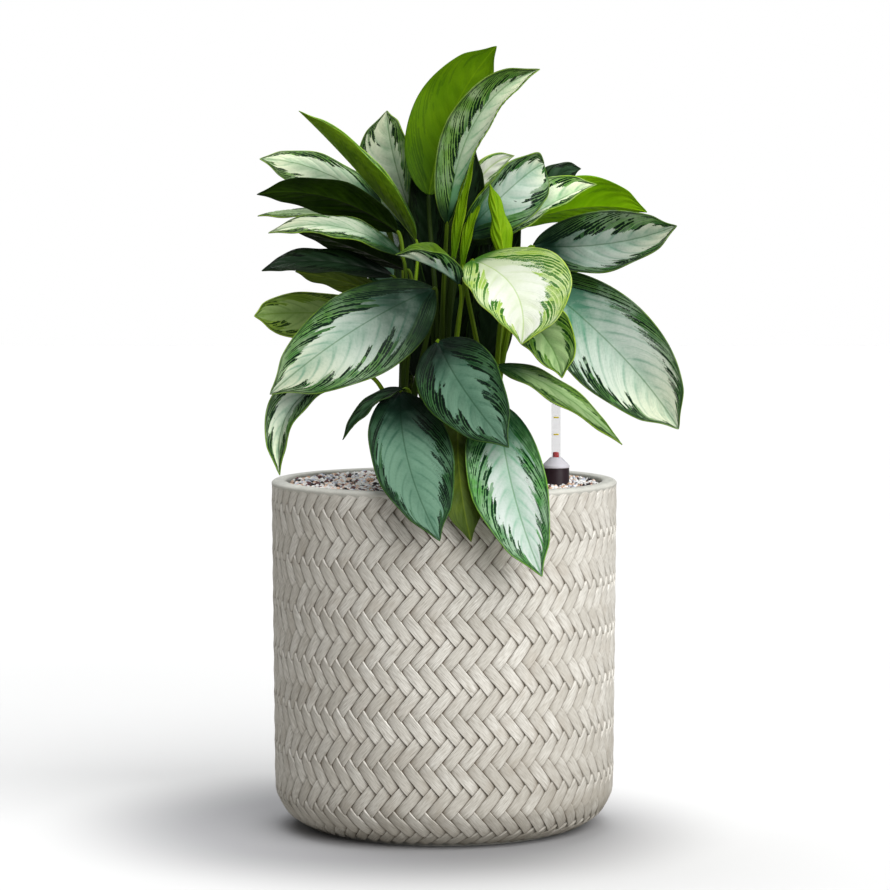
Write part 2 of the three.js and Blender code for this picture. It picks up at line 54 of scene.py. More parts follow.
# Planter, as in the part: outline of the wall, weave, rim and filled hollow
POT = dict(height=340, radius=170, taper=2.5, corner=45, corner_turn=1.55, round=5, round_turn=0.87)
WALL_LENGTH = POT["height"] - POT["corner"]
WALL_END = WALL_LENGTH + POT["corner"] * POT["corner_turn"]
CORNER_RADIUS = POT["radius"] - POT["taper"] - POT["corner"]
WEAVE = dict(pitches=68, cells=3, phase=-0.02, lift=4.5, first_row=3, last_row=45)
CELL_STEP = math.pi * POT["radius"] / WEAVE["pitches"]
FRONT = WEAVE["phase"] - math.pi / 2
RIM = [(167.8, 338.8), (166.9, 339.5), (165.4, 340), (157, 340), (154.8, 339)]
CAVITY = [(154, 336.6), (152, 60), (147, 36), (130, 16)]
CORE = dict(inset=3.65, sides=180, steps=42, top=10, foot=4, clear=0.3, soft=2.0)
LIP = [(6, 2.0), (4.6, 1.3), (3.5, 0.85), (2.7, 0.5), (1.9, 0.3), (0.9, 0.2), (0, 0.2)]

# One ribbon of the weave: grid lines in cells, and depths below the outline. Each ribbon twists, so
# that one edge lies over its neighbour at the top end and the other edge at the bottom end
RIBBON = dict(
    along=[0, 0.03, 0.14, 0.35, 0.8, 1.5, 2.2, 2.65, 2.86, 2.97, 3],
    across=[0, 0.02, 0.06, 0.16, 0.5, 0.84, 0.94, 0.98, 1],
    rest=1.2, twist=1.15, crown=0.24, dive=1.5, dive_reach=0.6, dive_power=1.6, wall=3.6,
    overlap=0.085, bulge=(0.6, 1.3), swerve=0.02, edge_power=6, grain_shift=7,
)

# Painted shade in the grooves as (strength, reach in cells), depth kept under the lip, and painted shade
# near the foot
GROOVE_SHADE = dict(side=[(0.6, 0.05), (0.5, 0.3)], end=[(0.5, 0.06), (0.35, 0.28)])
UNDER_LIP = dict(top=1, end=5.2, reach=3, depth=0.8)
FOOT_SHADE = dict(start=170, reach=170, power=1.6, even=0.82, to_right=0.45)

# Granulate: a bed under loose stones. Waves are (per millimetre of x, of y, phase)
BED = dict(top=334.0, bump=0.8, rings=40, sides=120)
BED_WAVES = [(0.21, 0.13, 0.4), (-0.17, 0.26, 1.7), (0.33, -0.05, 2.9), (0.06, 0.38, 4.2)]
STONES = dict(
    pitch=4.7, shift=0.4, least=2.1, most=3.1, squash=(0.78, 1.12), dents=(0.86, 1.12), top=335.9,
    lie=(-1.2, 0.8), edge=151.5, margin=2,
)
CANE_ROOM = 9.2
GAUGE_ROOM = 15

# Water level gauge: turned profiles as (radius, height)
GAUGE = dict(x=108.5, y=-31, sides=48, soft=0.5)
GAUGE_PARTS = dict(
    body=[(11.5, 16.3), (13, 16.3), (13, 353), (2.2, 353), (2.2, 351), (11.5, 351), (11.5, 16.3)],
    collar=[
        (2.2, 353.3), (13, 353.3), (13.4, 354), (13.2, 356), (5.4, 363.7), (3.3, 363.7), (3.3, 361.7),
        (2.2, 361.7), (2.2, 353.3),
    ],
    tube=[
        (4.1, 364), (4.8, 364), (4.8, 415.7), (4.2, 416.3), (0, 416.3), (0, 415.6), (4.1, 415.6),
        (4.1, 364),
    ],
    float=[
        (0, 40), (6, 40), (9, 44), (9, 86), (5, 90), (1.2, 92), (1.2, 362), (3, 362), (3, 367.8),
        (2.2, 368.6), (0, 368.6),
    ],
)
GAUGE_MARKS = dict(heights=[402.5, 386], half=0.7, reach=2.6, lift=0.05, thick=0.1, bevel=0.9, steps=13)

# Canes and petioles. A scar is a ring on the cane, as (shift along it, change of radius)
CANE = dict(bottom=268, foot=8.5, head=6.5, sides=20, node_step=34, soil=335)
SCAR = [(-1.2, -0.4), (0, 0), (0.9, -0.1), (3, -1)]
PETIOLE = dict(
    foot=3.7, end=2, depth=0.8, sides=14, rings=30, first=0.94, step=0.085, lean=0.45, rise=0.4,
    bend=14, groove=0.28, groove_power=4, overlap=2.5, gap=0.3, close=0.3,
)
# shade is the range of painted shade on a shoot's stems: more in the middle and at the back
SHOOTS = dict(
    left=dict(foot=(-36, -30), head=(-42, -44, 412), shade=(0.1, 0.8)),
    front=dict(foot=(2, -44), head=(4, -58, 420), shade=(0, 0.6)),
    right=dict(foot=(42, -30), head=(50, -44, 418), shade=(0, 0.5)),
    back_right=dict(foot=(32, 30), head=(38, 34, 440), shade=(0.6, 1)),
    back_left=dict(foot=(-30, 30), head=(-36, 34, 440), shade=(0.6, 1)),
    middle=dict(foot=(-2, -2), head=(-4, -6, 450), shade=(0.6, 1)),
)

# Blades: a grid from base to tip and from the left margin to the right one
BLADE = dict(
    stem=2.4, point=0.3, base_round=0.6, tip_round=0.8, nip=(0.83, 0.97, 0.36), thickness=0.7,
    rows=60, ease=0.6, tone_blend=0.24, seed_step=3.0,
    shares=[0, 0.03, 0.08, 0.17, 0.28, 0.4, 0.52, 0.63, 0.73, 0.82, 0.89, 0.95, 1],
)
RIB = dict(sink=0.5, stand=0.9, width=1.7)
FOLD = dict(pitch=18, height=2.0, side_power=0.7, end_power=0.5)
WAVE = dict(height=1.7, count=2.6, side_power=3)
VEIN = dict(lean=0.16, sweep=0.46, bend=0.98, pitch=7.2)


def blade(look, shoot, base, belly, tip, right, left=None, **rest):
    """A row of the leaf tables; without a left half of its own, a leaf is even."""
    left = left or tuple(-length for length in right)
    return dict(look=look, shoot=shoot, base=base, belly=belly, tip=tip, right=right, left=left, **rest)


# Leaves: look, shoot, base, belly, tip, right and left. Belly is the midrib at half length, and right
# and left run from there to the edges, seen from the upper side with the tip up. Two values are for
# the right and the left half. Sag is how far a half hangs through, bands widens its margin band, tone
# is painted light and shade that lightens or darkens it, and deep stretches the painted shade at its
# base. A turned leaf has its pattern below
LEAVES = dict(
    crown_back=blade(
        "lime_back", "middle", (-15, 8, 618), (8, 12, 698), (51, 0, 762), (-34, -8, 15), (27, 10, -12),
    ),
    crown_front=blade(
        "cream", "middle", (3, -14, 590), (31, -22, 690), (92, -40, 738), (11, -26, -8), (-21, -4, 12),
        sag=(0.4, 0.1), deep=0.3, tone=(1.6, 1.0), bands=(-0.12, 0.44),
    ),
    crown_left=blade(
        "cream", "back_left", (-24, 32, 576), (-48, 52, 648), (-57, 80, 702), (18, -16, 6),
        (-40, 8, -8), sag=0.1, tone=(1.25, 0.95), bands=(0.3, -0.1),
    ),
    folded_left=blade(
        "folded", "left", (-28, -5, 575), (-86, -8, 643), (-141, -12, 699), (14, 20, 13), (13, -22, 11),
        sag=0.2, tone=1.35,
    ),
    left_high=blade(
        "cream", "back_left", (-62, 25, 605), (-121, 25, 641), (-181, 20, 653), (6, 20, 15),
        (-8, -10, -24), sag=(0.1, 0), deep=0.7, tone=1.25, bands=(-0.05, 0.05),
    ),
    left_green=blade(
        "deep_back", "left", (-46, -15, 583), (-112, -22, 616), (-181, -30, 618), (-3, 14, -17),
        tone=0.6,
    ),
    left_sliver=blade(
        "sage", "back_left", (-60, 32, 586), (-125, 36, 600), (-184, 34, 597), (0, 17, 3), (0, -16, -6),
    ),
    left_silver=blade(
        "cream", "left", (-42, -50, 560), (-103, -60, 587), (-168, -70, 581), (2, 16, 11),
        (-2, -17, -9), tone=(0.8, 0.95), bands=(-0.18, 0.0),
    ),
    left_shade=blade(
        "shade", "left", (-36, -33, 546), (-95, -36, 570), (-146, -40, 584), (-4, 20, -8), (4, -14, 12),
        tone=0.6,
    ),
    left_dark=blade(
        "shade", "left", (-50, -52, 540), (-118, -70, 554), (-174, -78, 545), (0, 17, 13),
        (0, -17, -10), tone=0.36,
    ),
    left_lime=blade(
        "olive", "left", (-50, -30, 520), (-102, -45, 536), (-143, -55, 544), (0, 13, -10), tone=0.9,
    ),
    left_olive=blade(
        "olive", "back_left", (-60, 0, 500), (-138, -8, 503), (-183, -46, 501), (0, 8, 20),
        (0, -4, -26), tone=1.9,
    ),
    left_broad=blade(
        "silver", "left", (-10, -60, 528), (-88, -105, 488), (-164, -130, 430), (-25, 20, 26),
        (31, -8, -38), sag=(0.15, 0.05), deep=1.6, tone=(0.95, 0.88), bands=(0.1, 0.02),
    ),
    left_low=blade(
        "silver", "left", (-74, -60, 444), (-142, -80, 419), (-157, -85, 350), (-18, -8, 14),
        (4, -20, -10), tone=(1.5, 1.2), bands=(-0.02, 0.16),
    ),
    left_small=blade(
        "shade", "left", (-38, -84, 433), (-70, -104, 418), (-96, -116, 386), (-3, 8, 8), (3, -9, -1),
        sag=0.2,
    ),
    front_left=blade(
        "teal", "left", (-42, -79, 430), (-33, -158, 366), (-4, -208, 299), (-34, -6, 2), (45, -6, -2),
        sag=0.1, tone=(0.7, 0.78), bands=(-0.12, 0.0),
    ),
    front_middle=blade(
        "teal", "front", (-6, -85, 478), (18, -140, 436), (60, -175, 383), (-31, -6, -21), (32, -2, 22),
        sag=0.1, tone=(0.72, 0.76), bands=(0.1, 0.12),
    ),
    front_olive=blade(
        "olive", "front", (14, -72, 420), (14, -156, 360), (25, -186, 296), (25, 0, 2), (-24, 0, -2),
        tone=0.62,
    ),
    front_right=blade(
        "bright", "front", (52, -95, 418), (64, -172, 343), (90, -216, 267), (-40, -8, 2), (34, -6, -2),
        sag=0.1, bands=(0.06, 0.04),
    ),
    front_pale=blade(
        "pale", "front", (28, -40, 555), (67, -112, 527), (72, -154, 478), (-36, -20, -10),
        (56, -4, 11), sag=0.1, deep=0.25, tone=0.97, bands=(0.08, 0.1),
    ),
    right_under=blade(
        "sage", "right", (62, -78, 512), (96, -104, 482), (111, -125, 445), (-17, -12, -12),
        (23, -4, 17), sag=0.1, tone=1.3, bands=0.06,
    ),
    right_broad=blade(
        "silver", "right", (84, -25, 540), (168, -62, 466), (224, -82, 394), (-33, -8, -32),
        (32, 10, 31), sag=0.1, deep=0.3, tone=(1.22, 0.74), bands=(-0.14, -0.08),
    ),
    right_teal=blade(
        "silver", "right", (86, -20, 568), (160, -46, 571), (223, -60, 588), (5, -20, -25), (-9, 8, 31),
        sag=0.1, tone=(0.72, 0.66), bands=(-0.1, 0.2),
    ),
    right_lime=blade(
        "lime_back", "back_right", (70, 38, 588), (136, 40, 606), (200, 35, 601), (-2, -12, 31),
        (2, 12, -11), tone=1.9,
    ),
    right_stripe=blade(
        "cream", "back_right", (52, 10, 572), (100, 8, 606), (149, 2, 628), (4, -14, -4), (-13, 6, 24),
        deep=0.5, tone=1.65, bands=(0.0, 0.06),
    ),
    right_silver=blade(
        "silver", "middle", (18, -8, 578), (70, -5, 629), (98, 22, 648), (25, -4, -23), (-17, -22, 10),
        sag=(0.1, 0.3), deep=0.6, bands=(0.0, 0.12),
    ),
    right_small=blade(
        "shade", "back_right", (82, 60, 610), (110, 62, 636), (136, 65, 644), (4, -8, -12), (-4, 6, 12),
    ),
    right_shade=blade(
        "shade", "middle", (24, 14, 572), (54, 16, 588), (88, 20, 602), (-4, 3, 9), (5, 3, -12),
    ),
    new_roll=blade(
        "young", "right", (60, -26, 535), (54, -30, 584), (44, -30, 628), (-8, 4, -1), (10, 4, 1),
        sag=0.4, tone=1.1,
    ),
    centre_curl=blade(
        "silver", "front", (14, -80, 533), (-12, -98, 550), (-46, -106, 561), (0, 18, 22), (4, -14, 15),
        sag=(0.2, 0.1), turned=True, deep=0.5, tone=(0.8, 1.0), bands=0.12,
    ),
    pale_back=blade(
        "pale", "back_right", (20, 60, 600), (40, 65, 640), (70, 68, 657), (8, 0, -9), (-8, 0, 10),
    ),
    right_low=blade(
        "sage", "right", (50, -100, 456), (106, -118, 433), (168, -125, 382), (-6, -14, -8), (7, 16, 8),
        sag=0.2, tone=(0.95, 1.1), bands=(0.14, 0.1),
    ),
    rear_left=blade(
        "silver", "back_left", (-40, 60, 560), (-88, 108, 592), (-126, 150, 590), (20, 22, 2),
        (-20, -22, 2),
    ),
    rear_middle=blade(
        "teal", "middle", (10, 46, 456), (10, 84, 517), (12, 150, 562), (34, 0, 4), (-34, 0, 4),
    ),
    rear_inner=blade(
        "teal", "back_left", (-22, 66, 474), (-54, 86, 532), (-88, 120, 574), (20, 14, 2),
        (-20, -14, 2),
    ),
    rear_right=blade(
        "silver", "back_right", (44, 62, 530), (104, 108, 558), (150, 148, 550), (20, -24, 2),
        (-20, 24, 2),
    ),
    rear_low_left=blade(
        "silver", "back_left", (-44, 66, 480), (-84, 128, 492), (-112, 178, 440), (32, 16, 4),
        (-32, -16, 4),
    ),
    rear_low_middle=blade(
        "silver", "middle", (-6, 66, 446), (8, 146, 462), (14, 196, 404), (38, 0, 4), (-38, 0, 4),
    ),
    rear_low_right=blade(
        "silver", "back_right", (48, 62, 482), (92, 122, 492), (124, 172, 440), (32, -16, 4),
        (-32, 16, 4),
    ),
    rear_crown=blade(
        "silver", "middle", (8, 50, 650), (2, 90, 694), (0, 130, 728), (30, 0, 4), (-30, 0, 4),
    ),
)

# Young leaves deep in the crown, which have no solids of their own; the look inner is painted shade
INNER_LEAVES = dict(
    inner_left=blade(
        "inner", "middle", (-14, 16, 520), (-16, 20, 590), (-26, 22, 655), (20, -2, 2), sag=0.2,
    ),
    inner_middle=blade(
        "inner", "back_right", (15, 34, 510), (20, 40, 590), (30, 42, 665), (22, 2, 0), (-22, 2, 0),
        sag=0.2,
    ),
    inner_right=blade(
        "inner", "back_right", (46, 26, 520), (56, 30, 572), (70, 32, 618), (19, 0, -4), sag=0.2,
    ),
    inner_low=blade("inner", "middle", (-2, 20, 430), (-1, 27, 505), (2, 25, 575), (31, 0, 0), sag=0.2),
    inner_low_left=blade(
        "inner", "middle", (-28, 12, 440), (-33, 17, 515), (-38, 18, 590), (17, 0, 0), sag=0.2,
    ),
    inner_low_right=blade(
        "inner", "middle", (32, 10, 430), (46, 13, 495), (46, 11, 556), (22, 0, 0), sag=0.2,
    ),
    inner_sheath=blade(
        "young", "middle", (9, -24, 556), (16, -28, 604), (29, -30, 654), (5, 1, -1), (-5, 1, 1),
        sag=0.3, tone=0.72,
    ),
    inner_strip=blade(
        "young", "right", (18, -15, 548), (25, -17, 590), (42, -15, 628), (5, 1, -1), (-5, 1, 1),
        sag=0.3, tone=0.8,
    ),
)

# Leaf colours, 0 to 255 as seen. A blade's upper side has a pale centre that turns to a tint near the
# midrib and the base. Its margin band has dark streaks and lighter ones along the veins, and a rim.
# Band is the share of the half-width where the streaks start, and fill the share of dark lanes
LOOKS = dict(
    silver=dict(
        centre=(188, 202, 190), tint=(84, 138, 112), streak=(40, 92, 40), light=(126, 172, 100),
        tip=(206, 214, 184), dark=(3, 28, 14), rim=(128, 164, 40), under=(58, 92, 8), band=0.6, fill=0.74,
    ),
    cream=dict(
        centre=(194, 205, 181), tint=(96, 144, 104), streak=(46, 96, 34), light=(140, 178, 92),
        tip=(209, 216, 182), dark=(4, 32, 12), rim=(140, 172, 44), under=(58, 92, 8), band=0.6, fill=0.74,
    ),
    bright=dict(
        centre=(194, 204, 198), tint=(116, 166, 136), streak=(46, 112, 50), light=(128, 184, 116),
        dark=(4, 44, 18), rim=(124, 172, 40), under=(66, 106, 12), band=0.58, fill=0.7,
    ),
    teal=dict(
        centre=(112, 150, 126), tint=(56, 100, 78), streak=(24, 66, 34), light=(84, 130, 84),
        dark=(2, 22, 12), rim=(84, 126, 36), under=(40, 70, 10), band=0.62, fill=0.74,
    ),
    shade=dict(
        centre=(44, 72, 46), tint=(22, 44, 26), streak=(18, 42, 14), light=(46, 74, 38),
        dark=(4, 18, 8), rim=(54, 84, 22), under=(20, 40, 4), band=0.5, fill=0.7,
    ),
    olive=dict(
        centre=(112, 134, 78), tint=(72, 96, 44), streak=(72, 98, 26), light=(130, 152, 66),
        dark=(24, 44, 12), rim=(134, 156, 40), under=(84, 108, 40), band=0.55, fill=0.6,
    ),
    sage=dict(
        centre=(138, 164, 112), tint=(88, 122, 70), streak=(52, 94, 26), light=(118, 152, 72),
        dark=(14, 48, 16), rim=(150, 178, 44), under=(64, 94, 14), band=0.6, fill=0.66,
    ),
    pale=dict(
        centre=(214, 218, 206), tint=(190, 202, 168), streak=(142, 176, 70), light=(206, 218, 158),
        dark=(50, 104, 22), rim=(166, 190, 40), under=(104, 138, 24), band=0.64, fill=0.62,
    ),
    young=dict(
        centre=(120, 160, 4), tint=(106, 146, 2), streak=(92, 134, 2), light=(130, 168, 10),
        dark=(76, 118, 2), rim=(150, 182, 30), under=(98, 140, 2), band=0.8, fill=0.3,
    ),
    lime_back=dict(
        centre=(180, 194, 176), tint=(112, 152, 132), streak=(70, 122, 36), light=(118, 156, 80),
        dark=(16, 52, 8), rim=(112, 150, 10), under=(78, 118, 0), band=0.56, fill=0.7,
    ),
    # deep_back: its dark lower side is painted shade
    deep_back=dict(
        centre=(140, 164, 142), tint=(88, 124, 100), streak=(44, 84, 30), light=(84, 116, 64),
        dark=(8, 26, 4), rim=(66, 102, 6), under=(24, 48, 0), band=0.55, fill=0.7,
    ),
    folded=dict(
        centre=(128, 160, 116), tint=(62, 104, 50), streak=(60, 108, 22), light=(136, 172, 92),
        dark=(8, 38, 10), rim=(138, 172, 32), under=(70, 104, 6), band=0.36, fill=0.66,
    ),
    # inner: leaves dark as painted shade deep in the crown
    inner=dict(
        centre=(24, 44, 22), tint=(16, 32, 14), streak=(14, 32, 8), light=(32, 54, 22),
        dark=(4, 14, 4), rim=(44, 70, 12), under=(16, 32, 4), band=0.5, fill=0.7,
    ),
)

# Other colours, 0 to 255 as seen; ramps are (position, colour)
WEAVE_COLOURS = dict(
    ramp=[(0.3, (163, 158, 148)), (0.5, (211, 208, 200)), (0.7, (238, 236, 230))],
    smooth=(219, 217, 210), old=(162, 156, 144), stain=(176, 166, 152), fleck=(128, 112, 96),
    # groove and soil are colours of painted shade, edge is that of a painted highlight
    groove=(76, 62, 44), edge=(244, 242, 235), soil=(110, 102, 88),
    old_share=0.42, painted_highlight_share=0.45,
)
LIP_COLOURS = dict(ramp=[(0.3, (188, 188, 181)), (0.7, (204, 203, 195))], speckle=(146, 146, 140))
# The bed's dark colours are painted shade between the stones
BED_RAMP = [(0.35, (30, 24, 26)), (0.5, (70, 58, 56)), (0.65, (120, 106, 98))]
STONE_COLOURS = dict(
    ramp=[
        (0.0, (255, 255, 255)), (0.3, (244, 216, 198)), (0.42, (255, 255, 255)), (0.57, (108, 68, 70)),
        (0.65, (22, 16, 22)), (0.81, (206, 212, 228)), (0.91, (222, 182, 152)),
    ],
    # gap is the colour of painted shade on the stones' low sides
    dust=(150, 140, 134), gap=(34, 26, 26),
)
SHOOT_COLOURS = dict(
    # deep is the colour of painted shade on the stems, which lessens towards the blade by shade_fades_up
    fresh=[(0.3, (66, 96, 4)), (0.5, (100, 134, 10)), (0.7, (156, 182, 44))], deep=(24, 42, 4),
    bark=[(0.35, (30, 44, 8)), (0.65, (74, 96, 18))], shade_fades_up=0.25,
)

# Plastics: slot, colour, worn colour, roughness and opacity
GAUGE_LOOKS = dict(
    body=("gauge_dark", (44, 30, 36), (56, 42, 48), 0.4, 1.0),
    collar=("gauge_light", (222, 219, 228), (208, 204, 216), 0.35, 1.0),
    tube=("gauge_clear", (176, 170, 178), (166, 160, 168), 0.3, 0.1),
    float=("gauge_red", (200, 8, 0), (170, 6, 0), 0.4, 1.0),
    marks=("gauge_clear", (238, 214, 40), (220, 196, 36), 0.5, 1.0),
)

# Leaf pattern: seeds that keep its draws apart, how far streaks wander and their ends differ, how
# thick they are, and how strongly hem, rib and rim show
PATTERN = dict(
    side_seed=31, lane_seed=1, broad_seed=3, wander=0.9, broad=0.7, start=0.28, ragged=0.16,
    thick=0.45, thinning=0.22, frayed=0.6, gaps=0.1, line=(0.2, 0.8), spot_from=0.12, rim_green=0.15,
    hem=0.6, rib=0.5, under_streak=0.3, under_rib=0.4,
)

# Noises: scale and detail, and what the three numbers are multiplied by that a noise on a leaf, a
# ribbon or a shoot is read at. The others are read at the place on the object
NOISES = dict(
    leaf_cloud=(42, 4), leaf_speck=(420, 3), leaf_ribs=(1, 2, 1.1, 1.2, 1),
    leaf_fine=(2, 4, 2, 3, 1), wander=(1.6, 3, 0.5, 2, 1),
    broad=(1, 1, 0.22, 1, 1), ragged=(1, 3, 3, 3.2, 1),
    breaks=(1, 2, 3.7, 0.9, 1), spots=(1, 3, 0.83, 0.61, 0.37),
    fibre=(2.4, 5, 0.55, 8, 90), strand=(0.8, 2, 0.55, 8, 90),
    weave_cloud=(42, 3), weave_flecks=(700, 2), lip_cloud=(45, 4), lip_grit=(900, 3),
    stone_grit=(1500, 4), bed_grains=(420, 3), plastic_cloud=(120, 4),
    plastic_grit=(1400, 2), shoot_streaks=(2, 4, 1.5, 6, 1), bark=(240, 4),
    floor_cloud=(1.5, 2),
)

# Fades: from and to, and the values there where they aren't 0 and 1. First the leaf's margin band, its
# upper and its lower side, then weave, lip, stones, gauge and shoots
FADES = dict(
    band_at_base=(0.4, 0, 0, 0.3), band_at_tip=(0.8, 1, 0, 0.12), zone=(-0.015, 0.015),
    reach=(0, 0.45), streak=(-0.05, 0.05), breaks=(0.33, 0.38), spots=(0.7, 0.72),
    spot_zone=(-0.24, -0.16), lines=(0.34, 0.47),
    tint_rib=(0.5, 0, 0, 0.45), tint_base=(0.55, 0.05), tint_cloud=(0.3, 0.65, 0.55, 1.25),
    tint_ribs=(0.45, 0.7, 0, 0.1), tint_speck=(0.4, 0.7, -0.05, 0.07), fold=(0.7, 0, 0, 0.34),
    fold_side=(0, 0.25), fold_ribs=(0.3, 0.6, 0.4, 1.2), tip=(0.45, 0.95, 0, 0.9),
    green=(0.5, 0.7, 0, 0.5), band_cloud=(0.3, 0.6, 0.55, 1), dark_cloud=(0.2, 0.5, 0.82, 1),
    hem_inner=(3, 2.2), hem_outer=(0.7, 1.1), hem_ribs=(0.36, 0.46), rib=(1, 0.3), rim=(1.1, 0.5),
    rim_ribs=(0.4, 0.6, 0.2, 0.8), painted_base_shade=(0.4, 0.1, 0, 0.95), painted_base_shade_cloud=(0.35, 0.6, 0.84, 1),
    under_cloud=(0.3, 0.7, 0, 0.3), under_base=(0.5, 0, 0, 0.4), under_ribs=(0.5, 0.7, 0, 0.2),
    leaf_gloss=(0.3, 0.7, 0.34, 0.5),
    smooth=(0.35, 0.65, 0, 0.35), stain=(0.5, 0.72, 0, 0.3), fleck=(0.68, 0.75, 0, 0.5),
    fleck_fibre=(0.5, 0.4), groove=(0, 0.72, 0, 0.96), foot_shade_cloud=(0.3, 0.6, 0.32, 0.56),
    weave_gloss=(0.2, 0.8, 0.8, 0.6), speckle=(0.55, 0.75, 0, 0.4), lip_gloss=(0.3, 0.7, 0.65, 0.85),
    dust=(0.45, 0.75, 0, 0.15), gap=(-1.1, 0.4, 0, 0.92), stone_gloss=(0.3, 0.7, 0.65, 0.9),
    worn=(0.4, 0.75, 0, 0.5), deep=(0, 0.7, 0.1, 0.95), shoot_gloss=(0.3, 0.7, 0.42, 0.6),
)

# Floor, light and camera, in metres and degrees
FLOOR = dict(
    half=12.0, ramp=[(0.3, (207, 207, 207)), (0.7, (209, 209, 209))], thrown=(0.33, 0.32, 0.3, 1),
    # shade, centre and shade_fade make a painted shadow round the pot
    shade=(158, 158, 160), centre=(-0.06, -0.02, 0), shade_fade=(0.36, 0.16),
)
CAMERA = dict(place=(0.0008, -3.3, 0.6), pitch_down=3.93, lens=136.5, sensor=36, clip_end=50)
SUNS = dict(
    key=dict(place=(0.75, -0.95, 0.85), spread=60, strength=3.7, colour=(1.0, 0.995, 0.985)),
    top=dict(place=(-0.12, 0.5, 1.0), spread=52, strength=2.5, colour=(0.98, 0.99, 1.0)),
)
SKY = dict(light=0.26, seen=1.0)


def linear(colour):
    """A colour of 0 to 255 per channel as linear RGBA."""
    shares = np.array(colour, float) / 255
    low, high = shares / 12.92, ((shares + 0.055) / 1.055) ** 2.4
    return (*np.where(shares <= 0.04045, low, high).tolist(), 1.0)


# Vectors
def unit(v):
    return v / np.linalg.norm(v, axis=-1, keepdims=True)


def lerp(a, b, t):
    return a + (b - a) * t


# Mesh making
def new_object(name, data):
    """An object in the scene."""
    thing = bpy.data.objects.new(name, data)
    bpy.context.scene.collection.objects.link(thing)
    return thing


def add_piece(name, points, faces, material, stands_for=(), body="planter", marks=None):
    """A smooth piece on a body; marks are named numbers, one a point, that its material reads."""
    mesh = bpy.data.meshes.new(name)
    mesh.from_pydata((np.asarray(points, float) * MM).tolist(), [], faces)
    for key, values in (marks or {}).items():
        mark = mesh.attributes.new(key, "FLOAT", "POINT")
        mark.data.foreach_set("value", np.asarray(values, np.float32).ravel())
    mesh.polygons.foreach_set("use_smooth", np.ones(len(mesh.polygons), bool))
    mesh.materials.append(material)
    piece = new_object(name, mesh)
    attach(piece, body)
    if stands_for:
        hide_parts(*stands_for)
    return piece


def grid_faces(rows, columns, start=0, turned_over=False, closed=False):
    """Quads of a grid of points, row by row; a closed grid joins its last column to the first."""
    count = columns if closed else columns - 1
    row, column = np.meshgrid(np.arange(rows - 1), np.arange(count), indexing="ij")
    after = (column + 1) % columns
    a, b = row * columns + column, row * columns + after
    corners = [a, b, b + columns, a + columns]
    if turned_over:
        corners = [a, *corners[:0:-1]]
    return (np.stack(corners, axis=-1).reshape(-1, 4) + start).tolist()


def belt(lower, upper):
    """Faces between two loops of points; a loop of one point makes a fan."""
    n = max(len(lower), len(upper))
    if len(lower) == 1:
        return [[lower[0], upper[(k + 1) % n], upper[k]] for k in range(n)]
    if len(upper) == 1:
        return [[lower[k], lower[(k + 1) % n], upper[0]] for k in range(n)]
    return [[lower[k], lower[(k + 1) % n], upper[(k + 1) % n], upper[k]] for k in range(n)]


def turned_mesh(profile, sides, centre=(0, 0)):
    """Points and faces of a turned surface, its profile run upwards on the outside."""
    angles = np.arange(sides) * TURN / sides
    points, loops = [], []
    for r, z in profile:
        ring = angles[:1] if r < TINY else angles
        loops.append(list(range(len(points), len(points) + len(ring))))
        points += [(centre[0] + r * math.cos(a), centre[1] + r * math.sin(a), z) for a in ring]
    faces = [face for lower, upper in zip(loops, loops[1:]) for face in belt(lower, upper)]
    return points, faces


def softened(profile, reach, most=0.45, steps=4):
    """A profile with each inner corner an arc; most is the share of a side that one may take."""
    points = [np.array(p, float) for p in profile]
    soft = [points[0]]
    for before, corner, after in zip(points, points[1:], points[2:]):
        cut_in = min(reach, np.linalg.norm(before - corner) * most)
        cut_out = min(reach, np.linalg.norm(after - corner) * most)
        start = corner + unit(before - corner) * cut_in
        end = corner + unit(after - corner) * cut_out
        for t in np.linspace(0, 1, steps):
            soft.append((1 - t) ** 2 * start + 2 * t * (1 - t) * corner + t * t * end)
    return [tuple(p) for p in [*soft, points[-1]]]


# Material nodes
def new_node(tree, kind, *values):
    """A node of that kind, its first inputs fed with the values."""
    node = tree.nodes.new(kind)
    for socket, value in zip(node.inputs, values):
        feed(tree, socket, value)
    return node


class Term:
    """A number that nodes make: signs between terms add Math nodes."""

    def __init__(self, tree, socket):
        self.tree = tree
        self.socket = socket

    def math(self, operation, *others):
        node = new_node(self.tree, "ShaderNodeMath", self, *others)
        node.operation = operation
        return Term(self.tree, node.outputs[0])

    __add__ = partialmethod(math, "ADD")
    __sub__ = partialmethod(math, "SUBTRACT")
    __mul__ = partialmethod(math, "MULTIPLY")
    __gt__ = partialmethod(math, "GREATER_THAN")
    __lt__ = partialmethod(math, "LESS_THAN")
    size = partialmethod(math, "ABSOLUTE")
    whole = partialmethod(math, "FLOOR")

    def fade(self, low, high, start=0.0, end=1.0):
        """From start to end in a smooth step, as this term goes from low to high."""
        node = new_node(self.tree, "ShaderNodeMapRange", self, low, high, start, end)
        node.interpolation_type = "SMOOTHSTEP"
        return Term(self.tree, node.outputs["Result"])

    def faded(self, name):
        return self.fade(*FADES[name])


def feed(tree, socket, value):
    if isinstance(value, Term):
        value = value.socket
    if isinstance(value, bpy.types.NodeSocket):
        tree.links.new(value, socket)
    else:
        socket.default_value = value


def new_material(name, roughness, specular=0.5, alpha=1.0):
    """A material, its node tree and its shader, with even finish values on the shader itself."""
    material = bpy.data.materials.new(name)
    material.use_nodes = True
    shader = material.node_tree.nodes["Principled BSDF"]
    shader.inputs["Roughness"].default_value = roughness
    shader.inputs["Specular IOR Level"].default_value = specular
    shader.inputs["Alpha"].default_value = alpha
    return material, material.node_tree, shader


def marked(tree, name):
    node = new_node(tree, "ShaderNodeAttribute")
    node.attribute_name = name
    return Term(tree, node.outputs["Fac"])


